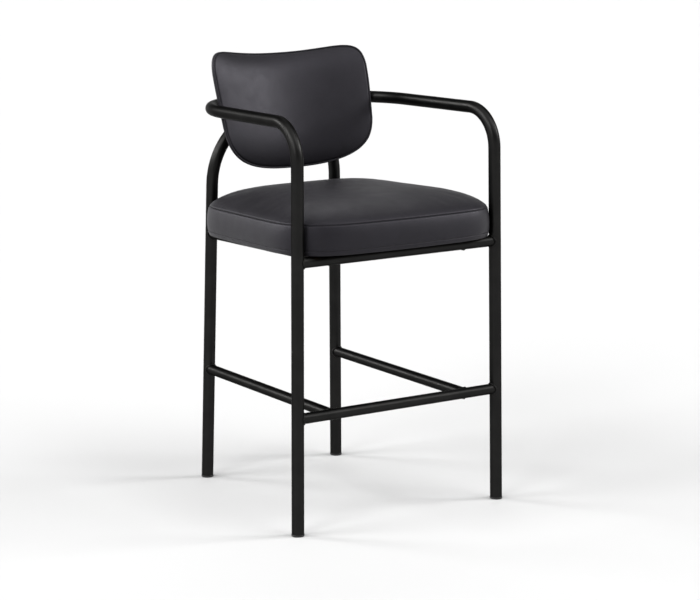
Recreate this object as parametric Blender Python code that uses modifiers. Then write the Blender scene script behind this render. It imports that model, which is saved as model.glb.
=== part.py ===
"""An upholstered bar stool with arms, in metres, +Z up.

The origin is on the floor under the middle of the stool, and the sitter
faces -Y. Two bent tubes carry everything: one makes both front legs, both
arms and the hoop behind the back, and the other is the arch of the rear legs.
"""

import math

import bmesh
import bpy
from mathutils import Matrix, Vector

# Clearances, how far a cutter runs past what it cuts, and the turn of its facets off the tube's
GAP = 0.0003
OVERRUN = 0.03
CUTTER_TURN_DEG = 5.6
WELD_DISTANCE = 0.00001
MERGE_DISTANCE = 0.00001

# Steel tube
LEG_DIAMETER = 0.0254
LEG_WALL = 0.0016
RAIL_DIAMETER = 0.0222
RAIL_WALL = 0.0015
LEG_SIDES = 16
RAIL_SIDES = 16
ARC_STEP_DEG = 7.5

# How the legs lean, and how far apart the rear feet stand
FRONT_SPLAY_DEG = 0.62
FRONT_RAKE_DEG = 0.71
REAR_SPLAY_DEG = 1.08
REAR_RAKE_DEG = 1.2
REAR_FOOT_HALF = 0.1689

# Rails: the seat's pitch down to the rear, and how the side rails toe out to the front
SEAT_RAIL_HEIGHT = 0.5531
SEAT_PITCH_DEG = 1.533
SEAT_RAIL_TOE_OUT = 0.0057
FOOT_RAIL_HEIGHT = 0.239
STRETCHER_RISE = 0.0034
STRETCHER_TOE_OUT = 0.0014

# Arms above the front seat rail, the hoop round the back, and the arch that touches it
ARM_RISE = 0.2729
ARM_DROP = 0.0074
ARM_BEND_RADIUS = 0.0787
HOOP_BESIDE_BACK = 0.0308
HOOP_BEND_RADIUS = 0.188
ARCH_TOUCH_DEG = 47.0
ARCH_FLAT = 0.002

# Glides under the tube ends
GLIDE_HEIGHT = 0.004
GLIDE_RIM = 0.0006
GLIDE_CHAMFER = 0.001
GLIDE_STEM_LENGTH = 0.018
GLIDE_STEM_PLAY = 0.0006

# Seat outline, measured from the front rail's axis, and its rounded corners
SEAT_FRONT_HALF = 0.2565
SEAT_REAR_HALF = 0.2225
SEAT_FRONT_EDGE = 0.053
SEAT_REAR_EDGE = 0.455
SEAT_FRONT_BOW = 0.020
SEAT_REAR_BOW = 0.0195
SEAT_SIDE_BOW = 0.003
SEAT_FRONT_CORNER = 0.1046
SEAT_REAR_CORNER = 0.109
SEAT_CORNER_STEPS = 4
SEAT_BLEND_SHARE = 0.36
SEAT_BLEND_STEPS = 2
SEAT_TO_FRONT_LEG = 0.0003
SEAT_TO_REAR_LEG = 0.0067

# Seat layers, from the rails up
DUST_COVER_THICKNESS = 0.001
DUST_COVER_INSET = 0.014
BOARD_THICKNESS = 0.012
BOARD_INSET = 0.005
SEAT_SIDE_HEIGHT = 0.0608
SEAT_CROWN = 0.0385
SEAT_CROWN_POWER = 7.9
SEAT_SEAM_INSET = 0.0015
SEAT_SIDE_BULGE = 0.0012
SEAT_HEM_INSET = 0.0008
SEAT_BULGE_SHARES = (0.25, 0.76)
SEAT_CROWN_SHARES = (0.985, 0.95, 0.88, 0.74, 0.45)
SEAM_CREASE_SHARE = 0.9

# Seat fasteners: each head goes up through a hole in the rail and bears inside it
SCREW_DIAMETER = 0.006
SCREW_HEAD_DIAMETER = 0.0115
SCREW_HEAD_HEIGHT = 0.0033
SCREW_HEAD_TOP_SHARE = 0.6
SCREW_CLEARANCE = 0.0004
HEAD_HOLE_CLEARANCE = 0.0008
INSERT_DIAMETER = 0.010
SEAT_INSERT_LENGTH = 0.010
SEAT_SCREW_FROM_FRONT_RAIL = 0.075
SEAT_SCREW_FROM_REAR_LEG = 0.154
SCREW_SIDES = 16

# Back panel: its place from the hoop, its lean, its curve and its outline
BACK_TO_HOOP = 0.0409
BACK_BELOW_HOOP = 0.0058
BACK_LEAN_DEG = 18.2
BACK_RADIUS = 0.347
BACK_HALF_WIDTH = 0.202
BACK_UP = 0.1116
BACK_DOWN = 0.1364
BACK_SADDLE = 0.0148
BACK_SADDLE_POWER = 3.0
BACK_UP_POWER = 5.4
BACK_DOWN_POWER = 2.8
BACK_DOWN_FALL_POWER = 4.7
BACK_END_SHARE = 0.996
BACK_TAPER_PER_METRE = 0.45
BACK_TAPER_START = 0.03
BACK_TAPER_EASE = 0.02
BACK_COLUMNS = 16
BACK_ROWS = 7
BACK_SLAB_COLUMNS = 48

# Back layers, measured back from the front seam
BACK_EDGE = 0.0055
BACK_CROWN = 0.024
BACK_CROWN_POWER = 5.0
SHELL_THICKNESS = 0.006
SHELL_INSET = 0.0035
REAR_COVER_THICKNESS = 0.002
REAR_COVER_INSET = 0.0015
BACK_INSERT_LENGTH = 0.0055

# Brackets that hold the back panel off the hoop and the arch
BRACKET_FROM_REAR_LEG = 0.0718
STRAP_WIDTH = 0.03
STRAP_THICKNESS = 0.004
STRAP_END = 0.011
STRAP_SCREW_STEP = 0.014
RIB_THICKNESS = 0.005
RIB_REACH = 0.01

LEG_RADIUS = LEG_DIAMETER / 2
RAIL_RADIUS = RAIL_DIAMETER / 2
SCREW_RADIUS = SCREW_DIAMETER / 2
SCREW_HOLE_RADIUS = SCREW_RADIUS + SCREW_CLEARANCE
INSERT_RADIUS = INSERT_DIAMETER / 2
SIDES = {"left": -1, "right": 1}
SHARP_ANGLE_DEG = 35.0


# Scene

def clear_scene():
    for thing in list(bpy.data.objects):
        bpy.data.objects.remove(thing)


def new_collection(name):
    collection = bpy.data.collections.new(name)
    bpy.context.scene.collection.children.link(collection)
    return collection


def new_material(name, colour, roughness, metallic=0.0):
    material = bpy.data.materials.new(name)
    material.use_nodes = True
    shader = material.node_tree.nodes["Principled BSDF"]
    shader.inputs["Base Color"].default_value = (*colour, 1.0)
    shader.inputs["Roughness"].default_value = roughness
    shader.inputs["Metallic"].default_value = metallic
    material.diffuse_color = (*colour, 1.0)
    return material


def new_frame(name, matrix, parent):
    frame = bpy.data.objects.new(name, None)
    parts.objects.link(frame)
    frame.parent = parent
    frame.matrix_basis = matrix
    return frame


def add_part(name, mesh, material, parent, matrix=None):
    mesh.materials.clear()
    mesh.materials.append(material)
    mesh.shade_smooth()
    mesh.set_sharp_from_angle(angle=math.radians(SHARP_ANGLE_DEG))
    thing = bpy.data.objects.new(name, mesh)
    parts.objects.link(thing)
    thing.parent = parent
    if matrix is not None:
        thing.matrix_basis = matrix
    return thing


def add_cutter(name, mesh, parent, matrix=None):
    cutter = bpy.data.objects.new(name, mesh)
    cutters.objects.link(cutter)
    cutter.parent = parent
    cutter.hide_render = True
    cutter.display_type = "WIRE"
    if matrix is not None:
        cutter.matrix_basis = matrix
    return cutter


def cut(thing, cutter):
    boolean = thing.modifiers.new("cut_" + cutter.name, "BOOLEAN")
    boolean.operation = "DIFFERENCE"
    boolean.object = cutter


# Paths and outlines

def slope(degrees):
    return math.tan(math.radians(degrees))


def round_corner(before, corner, after, reach, steps):
    """Points along the arc that rounds a corner, touching its sides at the reach."""
    to_before = (before - corner).normalized()
    to_after = (after - corner).normalized()
    inside = to_before.angle(to_after)
    radius = reach * math.tan(inside / 2)
    centre = corner + (to_before + to_after).normalized() * (radius / math.sin(inside / 2))
    arm = corner + to_before * reach - centre
    axis = to_after.cross(to_before)
    turn = math.pi - inside
    return [centre + Matrix.Rotation(turn * step / steps, 3, axis) @ arm for step in range(steps + 1)]


def corner_reach(before, corner, after, radius):
    inside = (before - corner).angle(after - corner)
    return radius / math.tan(inside / 2)


def rounded_path(corners, radii):
    """An open path through the corners, each inner one rounded to its radius."""
    points = [corners[0]]
    for before, corner, after, radius in zip(corners, corners[1:], corners[2:], radii):
        turn = math.pi - (before - corner).angle(after - corner)
        steps = max(1, round(math.degrees(turn) / ARC_STEP_DEG))
        reach = corner_reach(before, corner, after, radius)
        points += round_corner(before, corner, after, reach, steps)
    return points + [corners[-1]]


def offset_outline(outline, distance):
    """The closed, anticlockwise outline moved outwards by the distance, or inwards if negative."""
    moved = []
    for before, point, after in zip(outline[-1:] + outline[:-1], outline, outline[1:] + outline[:1]):
        along = (after - before).normalized()
        moved.append(point + Vector((along.y, -along.x, 0)) * distance)
    return moved


# Meshes

def mesh_from(bm, name):
    bmesh.ops.remove_doubles(bm, verts=bm.verts, dist=WELD_DISTANCE)
    bmesh.ops.recalc_face_normals(bm, faces=bm.faces)
    mesh = bpy.data.meshes.new(name)
    bm.to_mesh(mesh)
    bm.free()
    return mesh


def mesh_from_curve(name, curve):
    """The closed mesh of a curve, with its loose caps welded."""
    guide = bpy.data.objects.new(name, curve)
    cutters.objects.link(guide)
    graph = bpy.context.evaluated_depsgraph_get()
    raw = bpy.data.meshes.new_from_object(guide.evaluated_get(graph))
    bpy.data.objects.remove(guide)
    bpy.data.curves.remove(curve)
    bm = bmesh.new()
    bm.from_mesh(raw)
    bpy.data.meshes.remove(raw)
    return mesh_from(bm, name)


def rod(name, points, radius, sides, turn_deg=0):
    """A solid round bar along the points, its facets turned about its own axis."""
    curve = bpy.data.curves.new(name, "CURVE")
    curve.dimensions = "3D"
    curve.bevel_depth = radius
    curve.bevel_resolution = sides // 2 - 2
    curve.use_fill_caps = True
    spline = curve.splines.new("POLY")
    spline.points.add(len(points) - 1)
    for place, point in zip(spline.points, points):
        place.co = (*point, 1.0)
        place.tilt = math.radians(turn_deg)
    return mesh_from_curve(name, curve)


def plate(name, outline, thickness):
    """A flat plate on both sides of the XY plane."""
    curve = bpy.data.curves.new(name, "CURVE")
    curve.dimensions = "2D"
    curve.fill_mode = "BOTH"
    curve.extrude = thickness / 2
    spline = curve.splines.new("POLY")
    spline.points.add(len(outline) - 1)
    for place, point in zip(spline.points, outline):
        place.co = (point.x, point.y, 0, 1.0)
    spline.use_cyclic_u = True
    return mesh_from_curve(name, curve)


def box(name, low, high):
    bm = bmesh.new()
    size = [b - a for a, b in zip(low, high)]
    middle = Vector([(a + b) / 2 for a, b in zip(low, high)])
    bmesh.ops.create_cube(bm, size=1.0, matrix=Matrix.Translation(middle) @ Matrix.Diagonal((*size, 1.0)))
    return mesh_from(bm, name)


def hole(name, radius, bottom, top, sides):
    """A round cutter along Z, its facets turned off those of the tube that it crosses."""
    bm = bmesh.new()
    turned = Matrix.Rotation(math.radians(CUTTER_TURN_DEG), 4, "Z")
    middle = Matrix.Translation((0, 0, (bottom + top) / 2)) @ turned
    bmesh.ops.create_cone(
        bm, cap_ends=True, segments=sides, radius1=radius, radius2=radius, depth=top - bottom, matrix=middle
    )
    return mesh_from(bm, name)


def turned_profile(name, profile, closed=False):
    """A profile of (radius, height) pairs, run down its outer side, for a Screw modifier."""
    bm = bmesh.new()
    points = [bm.verts.new((radius, 0, height)) for radius, height in profile]
    for start, end in zip(points, points[1:]):
        bm.edges.new((start, end))
    if closed:
        bm.edges.new((points[-1], points[0]))
    mesh = bpy.data.meshes.new(name)
    bm.to_mesh(mesh)
    bm.free()
    return mesh


def turn(thing, steps):
    screw = thing.modifiers.new("turn", "SCREW")
    screw.axis = "Z"
    screw.steps = steps
    screw.render_steps = steps
    screw.use_merge_vertices = True
    screw.merge_threshold = MERGE_DISTANCE


def subdivide(thing, levels=1):
    surface = thing.modifiers.new("soft", "SUBSURF")
    surface.levels = levels
    surface.render_levels = levels


# Frame geometry, measured from the middle between the front feet

def seat_corners():
    """The right-hand corners of the seat's plan, front to rear, with the radius of each."""
    side_middle = (SEAT_FRONT_HALF + SEAT_REAR_HALF) / 2 + SEAT_SIDE_BOW
    length_middle = (SEAT_REAR_EDGE - SEAT_FRONT_EDGE) / 2
    return [
        (Vector((0, -SEAT_FRONT_EDGE, 0)), None),
        (Vector((SEAT_FRONT_HALF, SEAT_FRONT_BOW - SEAT_FRONT_EDGE, 0)), SEAT_FRONT_CORNER),
        (Vector((side_middle, length_middle, 0)), None),
        (Vector((SEAT_REAR_HALF, SEAT_REAR_EDGE - SEAT_REAR_BOW, 0)), SEAT_REAR_CORNER),
        (Vector((0, SEAT_REAR_EDGE, 0)), None),
    ]


def front_leg_half():
    """Half the spacing of the front legs at the seat rail, where they touch the seat's corners."""
    before, corner, after = (place for place, _ in seat_corners()[:3])
    inside = (before - corner).angle(after - corner)
    to_centre = ((before - corner).normalized() + (after - corner).normalized()).normalized()
    centre = corner + to_centre * (SEAT_FRONT_CORNER / math.sin(inside / 2))
    step = (math.pi - inside) / SEAT_CORNER_STEPS
    smooth_radius = SEAT_FRONT_CORNER * (2 + math.cos(step)) / 3
    reach = smooth_radius + SEAT_SIDE_BULGE + SEAT_TO_FRONT_LEG + LEG_RADIUS
    return centre.x + math.sqrt(reach**2 - centre.y**2)


def seat_rail_rear_height():
    return SEAT_RAIL_HEIGHT - slope(SEAT_PITCH_DEG) * seat_rail_length()


def seat_rail_length():
    """From the front seat rail's axis to the rear legs' axes."""
    return SEAT_REAR_EDGE + SEAT_TO_REAR_LEG + LEG_RADIUS


def front_leg(side, height):
    half = front_leg_half() + slope(FRONT_SPLAY_DEG) * (SEAT_RAIL_HEIGHT - height)
    return Vector((side * half, slope(FRONT_RAKE_DEG) * height, height))


def rear_leg(side, height):
    below_seat = seat_rail_rear_height() - height
    depth = front_leg(1, SEAT_RAIL_HEIGHT).y + seat_rail_length() + slope(REAR_RAKE_DEG) * below_seat
    return Vector((side * (REAR_FOOT_HALF - slope(REAR_SPLAY_DEG) * height), depth, height))


def rail_ends(side, front_height, rear_height, toe_out):
    """Axis ends of a side rail, from the front rail back to a rear leg."""
    rear = rear_leg(side, rear_height)
    return Vector((rear.x + side * toe_out, front_leg(side, front_height).y, front_height)), rear


def seat_rail_ends(side):
    return rail_ends(side, SEAT_RAIL_HEIGHT, seat_rail_rear_height(), SEAT_RAIL_TOE_OUT)


def hoop_height():
    return SEAT_RAIL_HEIGHT + ARM_RISE - ARM_DROP


def arch_top_height():
    return hoop_height() - (LEG_DIAMETER + GAP) * math.sin(math.radians(ARCH_TOUCH_DEG))


def hoop_depth():
    arch_top = rear_leg(1, arch_top_height())
    return arch_top.y + (LEG_DIAMETER + GAP) * math.cos(math.radians(ARCH_TOUCH_DEG))


def hoop_path(below):
    """Up the left front leg, back along the arm, round behind the back and down the right."""
    half_width = BACK_RADIUS * math.sin(BACK_HALF_WIDTH / BACK_RADIUS) + HOOP_BESIDE_BACK
    front_height = SEAT_RAIL_HEIGHT + ARM_RISE
    rear = {side: Vector((side * half_width, hoop_depth(), hoop_height())) for side in (-1, 1)}
    corners = [front_leg(-1, -below), front_leg(-1, front_height), rear[-1]]
    corners += [rear[1], front_leg(1, front_height), front_leg(1, -below)]
    return rounded_path(corners, [ARM_BEND_RADIUS, HOOP_BEND_RADIUS, HOOP_BEND_RADIUS, ARM_BEND_RADIUS])


def arch_path(below):
    """Up the left rear leg, over the arch and down the right one."""
    top = arch_top_height()
    left, right = rear_leg(-1, top), rear_leg(1, top)
    inside = (rear_leg(-1, 0) - left).angle(right - left)
    radius = (right.x - ARCH_FLAT / 2) * math.tan(inside / 2)
    return rounded_path([rear_leg(-1, -below), left, right, rear_leg(1, -below)], [radius, radius])


def seat_matrix():
    """The seat's frame: on the front rail's axis, pitched along the side rails."""
    front = front_leg(1, SEAT_RAIL_HEIGHT)
    place = Matrix.Translation((0, front.y, front.z))
    return place @ Matrix.Rotation(-math.radians(SEAT_PITCH_DEG), 4, "X")


def back_matrix():
    depth = hoop_depth() - LEG_RADIUS - BACK_TO_HOOP
    place = Matrix.Translation((0, depth, hoop_height() - BACK_BELOW_HOOP))
    return place @ Matrix.Rotation(-math.radians(BACK_LEAN_DEG), 4, "X")


def bracket_matrix(side):
    """On the axis of the panel's curve, turned so that +Y points out through the bracket."""
    spacing = rear_leg(1, arch_top_height()).x - BRACKET_FROM_REAR_LEG
    turned = Matrix.Rotation(-side * math.asin(spacing / BACK_RADIUS), 4, "Z")
    return Matrix.Translation((0, -BACK_RADIUS, 0)) @ turned


# Seat layers' heights above the rails' axes
DUST_COVER_BOTTOM = RAIL_RADIUS + GAP
SEAT_BASE = DUST_COVER_BOTTOM + DUST_COVER_THICKNESS + GAP


# Tube frame

def tube(name, path, long_path, diameter, wall, sides, trims):
    """A tube along a path: trimmed as a solid bar, then bored along the longer path."""
    thing = add_part(name, rod(name, path, diameter / 2, sides), steel, root)
    for trim in trims:
        cut(thing, trim)
    bore = rod(name + "_bore", long_path, diameter / 2 - wall, sides)
    cut(thing, add_cutter(name + "_bore", bore, root))
    return thing


def rail(name, start, end, trims):
    """A straight tube between two axes, coped round the tubes that it meets."""
    past = (end - start).normalized() * OVERRUN
    long_path = [start - past, end + past]
    return tube(name, [start, end], long_path, RAIL_DIAMETER, RAIL_WALL, RAIL_SIDES, trims)


def build_frame():
    """The two bent tubes, the rails between them, and the cutters that follow their outsides."""
    front, rear = front_leg(1, 0), rear_leg(1, 0)
    floor = box(
        "floor_trim",
        (-front.x - OVERRUN, front.y - OVERRUN, -3 * OVERRUN),
        (front.x + OVERRUN, rear.y + OVERRUN, GLIDE_HEIGHT + GAP),
    )
    floor_trim = add_cutter("floor_trim", floor, root)
    trims = {}
    for name, path in (("front_legs_and_arm_hoop", hoop_path), ("rear_leg_arch", arch_path)):
        long_path = path(2 * OVERRUN)
        tube(name, path(OVERRUN), long_path, LEG_DIAMETER, LEG_WALL, LEG_SIDES, [floor_trim])
        outside = rod(name + "_outside", path(OVERRUN), LEG_RADIUS + GAP, LEG_SIDES, CUTTER_TURN_DEG)
        trims[name] = add_cutter(name + "_outside", outside, root)
    hoop_trim = trims["front_legs_and_arm_hoop"]
    arch_trim = trims["rear_leg_arch"]

    for name, height in (("front_seat_rail", SEAT_RAIL_HEIGHT), ("foot_rail", FOOT_RAIL_HEIGHT)):
        ends = [front_leg(-1, height), front_leg(1, height)]
        rail(name, *ends, [hoop_trim])
        outside = rod(name + "_outside", ends, RAIL_RADIUS + GAP, RAIL_SIDES, CUTTER_TURN_DEG)
        trims[name] = add_cutter(name + "_outside", outside, root)

    side_rails = {}
    for word, side in SIDES.items():
        trims_here = [trims["front_seat_rail"], arch_trim]
        side_rails[word] = rail("seat_side_rail_" + word, *seat_rail_ends(side), trims_here)
        ends = rail_ends(side, FOOT_RAIL_HEIGHT, FOOT_RAIL_HEIGHT + STRETCHER_RISE, STRETCHER_TOE_OUT)
        rail("side_stretcher_" + word, *ends, [trims["foot_rail"], arch_trim])
    return hoop_trim, arch_trim, side_rails


def build_glides():
    """Plastic glides: a rim under the tube's end and a stem up inside it."""
    bore = (LEG_RADIUS - LEG_WALL) * math.cos(math.pi / LEG_SIDES)
    stem = bore - GLIDE_STEM_PLAY
    rim = LEG_RADIUS + GLIDE_RIM
    top = GLIDE_HEIGHT + GLIDE_STEM_LENGTH
    profile = [(0, top), (stem - GLIDE_CHAMFER, top), (stem, top - GLIDE_CHAMFER), (stem, GLIDE_HEIGHT)]
    profile += [(rim, GLIDE_HEIGHT), (rim, GLIDE_CHAMFER), (rim - GLIDE_CHAMFER, 0), (0, 0)]
    for end, leg in (("front", front_leg), ("rear", rear_leg)):
        for word, side in SIDES.items():
            name = "glide_" + end + "_" + word
            place = leg(side, GLIDE_HEIGHT + GLIDE_STEM_LENGTH / 2)
            place.z = 0
            mesh = turned_profile(name, profile)
            turn(add_part(name, mesh, plastic, root, Matrix.Translation(place)), LEG_SIDES)


# Seat

def seat_outline():
    """The seat's plan, anticlockwise from the front: a rounded trapezoid with bowed sides."""
    right = seat_corners()
    left = [(Vector((-place.x, place.y, 0)), radius) for place, radius in right[-2:0:-1]]
    corners = right + left
    outline = []
    for before, corner, after in zip(corners[-1:] + corners[:-1], corners, corners[1:] + corners[:1]):
        radius = corner[1]
        places = [before[0], corner[0], after[0]]
        if radius is None:
            shorter = min((places[0] - places[1]).length, (places[2] - places[1]).length)
            outline += round_corner(*places, shorter * SEAT_BLEND_SHARE, SEAT_BLEND_STEPS)
        else:
            outline += round_corner(*places, corner_reach(*places, radius), SEAT_CORNER_STEPS)
    return outline


def seat_rings(outline):
    """Rings of the seat cushion's cage, from the hem up the side and in over the crown."""
    seam_height = SEAT_BASE + SEAT_SIDE_HEIGHT
    sides = [(-SEAT_HEM_INSET, SEAT_BASE)]
    sides += [(SEAT_SIDE_BULGE, SEAT_BASE + SEAT_SIDE_HEIGHT * share) for share in SEAT_BULGE_SHARES]
    sides += [(-SEAT_SEAM_INSET, seam_height)]
    rings = []
    for distance, height in sides:
        rings.append([point + Vector((0, 0, height)) for point in offset_outline(outline, distance)])
    seam = rings[-1]
    centre = Vector((0, (SEAT_REAR_EDGE - SEAT_FRONT_EDGE) / 2, seam_height))
    for share in SEAT_CROWN_SHARES:
        rise = Vector((0, 0, SEAT_CROWN * (1 - share**SEAT_CROWN_POWER)))
        rings.append([centre.lerp(point, share) + rise for point in seam])
    return rings


def loft(name, rings, creases):
    """A closed cage through rings with as many points each; creased rings stay sharp."""
    bm = bmesh.new()
    crease = bm.edges.layers.float.new("crease_edge")
    loops = [[bm.verts.new(point) for point in ring] for ring in rings]
    count = len(rings[0])
    for lower, upper in zip(loops, loops[1:]):
        for k in range(count):
            after = (k + 1) % count
            bm.faces.new((lower[k], lower[after], upper[after], upper[k]))
    bm.faces.new(loops[0][::-1])
    bm.faces.new(loops[-1])
    for index, share in creases.items():
        loop = loops[index]
        for start, end in zip(loop, loop[1:] + loop[:1]):
            bm.edges.get((start, end))[crease] = share
    return mesh_from(bm, name)


def seat_screw_places():
    """Where the screws cross the side rails, in the seat's frame."""
    frame = seat_matrix().inverted()
    places = {}
    for word, side in SIDES.items():
        front, rear = (frame @ end for end in seat_rail_ends(side))
        rear_screw = rear.y - SEAT_SCREW_FROM_REAR_LEG
        for end, along in (("front", SEAT_SCREW_FROM_FRONT_RAIL), ("rear", rear_screw)):
            places[end + "_" + word] = front.lerp(rear, along / rear.y)
    return places


def screw_profile(length):
    """A button head below the height 0, and a shank above it."""
    head = SCREW_HEAD_DIAMETER / 2
    return [
        (0, length),
        (SCREW_RADIUS, length),
        (SCREW_RADIUS, 0),
        (head, 0),
        (head, -SCREW_HEAD_HEIGHT / 2),
        (head * SCREW_HEAD_TOP_SHARE, -SCREW_HEAD_HEIGHT),
        (0, -SCREW_HEAD_HEIGHT),
    ]


def add_screw(name, length, parent, matrix):
    turn(add_part(name, turned_profile(name, screw_profile(length)), zinc, parent, matrix), SCREW_SIDES)


def add_insert(name, length, parent, matrix):
    """A threaded insert: a plain ring, bored for the screw."""
    ring = [(INSERT_RADIUS, length), (INSERT_RADIUS, 0), (SCREW_HOLE_RADIUS, 0), (SCREW_HOLE_RADIUS, length)]
    turn(add_part(name, turned_profile(name, ring, closed=True), brass, parent, matrix), SCREW_SIDES)


def build_seat(side_rails):
    frame = new_frame("seat_frame", seat_matrix(), root)
    outline = seat_outline()

    board_outline = offset_outline(outline, -BOARD_INSET)
    board_middle = Matrix.Translation((0, 0, SEAT_BASE + BOARD_THICKNESS / 2))
    board_mesh = plate("seat_board", board_outline, BOARD_THICKNESS)
    board = add_part("seat_board", board_mesh, plywood, frame, board_middle)

    cover_outline = offset_outline(outline, -DUST_COVER_INSET)
    cover_middle = Matrix.Translation((0, 0, DUST_COVER_BOTTOM + DUST_COVER_THICKNESS / 2))
    cover_mesh = plate("seat_dust_cover", cover_outline, DUST_COVER_THICKNESS)
    cover = add_part("seat_dust_cover", cover_mesh, cambric, frame, cover_middle)

    cage = loft("seat_cushion", seat_rings(outline), {0: 1.0, len(SEAT_BULGE_SHARES) + 1: SEAM_CREASE_SHARE})
    cushion = add_part("seat_cushion", cage, vinyl, frame)
    subdivide(cushion)
    pocket_outline = offset_outline(board_outline, GAP)
    pocket_height = 2 * (BOARD_THICKNESS + GAP)
    pocket = plate("seat_pocket", pocket_outline, pocket_height)
    cut(cushion, add_cutter("seat_pocket", pocket, frame, Matrix.Translation((0, 0, SEAT_BASE))))

    bore = (RAIL_RADIUS - RAIL_WALL) * math.cos(math.pi / RAIL_SIDES)
    head = SCREW_HEAD_DIAMETER / 2
    head_seat = math.sqrt(bore**2 - head**2) - GAP
    shank = SEAT_BASE + SEAT_INSERT_LENGTH - head_seat
    for spot, place in seat_screw_places().items():
        rail_tube = side_rails[spot.split("_")[1]]
        at_rail = Matrix.Translation((place.x, place.y, 0))
        at_head = Matrix.Translation((place.x, place.y, head_seat))
        at_board = Matrix.Translation((place.x, place.y, SEAT_BASE))
        name = "seat_screw_hole_" + spot
        shank_hole = hole(name, SCREW_HOLE_RADIUS, 0, OVERRUN, SCREW_SIDES)
        shank_cutter = add_cutter(name, shank_hole, frame, at_rail)
        cut(rail_tube, shank_cutter)
        cut(cover, shank_cutter)
        name = "seat_head_hole_" + spot
        head_hole = hole(name, head + HEAD_HOLE_CLEARANCE, -OVERRUN, 0, SCREW_SIDES)
        cut(rail_tube, add_cutter(name, head_hole, frame, at_rail))
        name = "seat_insert_hole_" + spot
        insert_hole = hole(name, INSERT_RADIUS + GAP, -OVERRUN, OVERRUN, SCREW_SIDES)
        cut(board, add_cutter(name, insert_hole, frame, at_board))
        add_screw("seat_screw_" + spot, shank, frame, at_head)
        add_insert("seat_insert_" + spot, SEAT_INSERT_LENGTH, frame, at_board)


# Back

def back_top(share):
    """Height of the panel's top edge at a share of its half width."""
    return (1 - abs(share) ** BACK_UP_POWER) ** (1 / BACK_UP_POWER)


def back_bottom(share):
    return (1 - abs(share) ** BACK_DOWN_POWER) ** (1 / BACK_DOWN_FALL_POWER)


def back_taper(height):
    """Share of the full width that the panel has at a height; it narrows downwards."""
    below = BACK_TAPER_START - height
    eased_below = (below + math.hypot(below, BACK_TAPER_EASE)) / 2
    return 1 - BACK_TAPER_PER_METRE * eased_below


def back_point(across, up, inset, behind):
    """A point of the panel, across and up from -1 to 1, so far behind the front seam's surface."""
    share = across * BACK_END_SHARE
    rise = back_top(share)
    top = (BACK_UP - inset) * rise + BACK_SADDLE * abs(share) ** BACK_SADDLE_POWER * rise
    bottom = -(BACK_DOWN - inset) * back_bottom(share)
    height = bottom + (top - bottom) * (up + 1) / 2
    angle = share * (BACK_HALF_WIDTH * back_taper(height) - inset) / BACK_RADIUS
    radius = BACK_RADIUS + behind
    return Vector((radius * math.sin(angle), radius * math.cos(angle) - BACK_RADIUS, height))


def eased(steps):
    """Shares from -1 to 1 that crowd towards both ends."""
    return [math.sin(math.pi / 2 * (2 * k / steps - 1)) for k in range(steps + 1)]


def back_sheet(inset, behind, columns, rows):
    """The panel's outline as a grid bent to its curve."""
    bm = bmesh.new()
    bmesh.ops.create_grid(bm, x_segments=columns, y_segments=rows, size=1.0)
    across, up = eased(columns), eased(rows)
    for vert in bm.verts:
        column = round((vert.co.x + 1) / 2 * columns)
        row = round((vert.co.y + 1) / 2 * rows)
        vert.co = back_point(across[column], up[row], inset, behind)
    return bm


def back_slab(name, inset, front, thickness):
    """A curved slab of even thickness, from so far behind the front seam's surface."""
    bm = back_sheet(inset, front, BACK_SLAB_COLUMNS, 1)
    faces = bmesh.ops.extrude_face_region(bm, geom=list(bm.faces))["geom"]
    for vert in (item for item in faces if isinstance(item, bmesh.types.BMVert)):
        radial = Vector((vert.co.x, vert.co.y + BACK_RADIUS, 0)).normalized()
        vert.co += radial * thickness
    return mesh_from(bm, name)


def back_cushion_cage():
    """The front pad: flat on the shell behind, crowned in front, with a creased edge band."""
    bm = back_sheet(0, BACK_EDGE, BACK_COLUMNS, BACK_ROWS)
    crease = bm.edges.layers.float.new("crease_edge")
    rear_rim = [edge for edge in bm.edges if edge.is_boundary]
    grown = bmesh.ops.extrude_face_region(bm, geom=list(bm.faces))["geom"]
    grown_edges = [item for item in grown if isinstance(item, bmesh.types.BMEdge)]
    front_verts = [item for item in grown if isinstance(item, bmesh.types.BMVert)]
    front_faces = [item for item in grown if isinstance(item, bmesh.types.BMFace)]
    for vert in front_verts:
        angle = math.atan2(vert.co.x, vert.co.y + BACK_RADIUS)
        half_width = BACK_HALF_WIDTH * back_taper(vert.co.z)
        across = angle * BACK_RADIUS / (half_width * BACK_END_SHARE)
        low = back_point(across, -1, 0, 0).z
        high = back_point(across, 1, 0, 0).z
        up = 2 * (vert.co.z - low) / (high - low) - 1
        crown = max(0, 1 - abs(across) ** BACK_CROWN_POWER) * max(0, 1 - abs(up) ** BACK_CROWN_POWER)
        vert.co = back_point(across, up, 0, -BACK_CROWN * crown)
    inner = set(front_faces)
    front_rim = [edge for edge in grown_edges if sum(face in inner for face in edge.link_faces) == 1]
    for edge in rear_rim + front_rim:
        edge[crease] = SEAM_CREASE_SHARE
    return mesh_from(bm, "back_cushion")


def crossing(path, frame):
    """Where a path crosses the frame's x = 0 plane closest behind the panel, in the frame."""
    inverse = frame.inverted()
    local = [inverse @ point for point in path]
    found = []
    for start, end in zip(local, local[1:]):
        if start.x * end.x <= 0 and min(start.y, end.y) > BACK_RADIUS:
            found.append(start.lerp(end, start.x / (start.x - end.x)))
    return min(found, key=lambda point: point.y)


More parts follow.
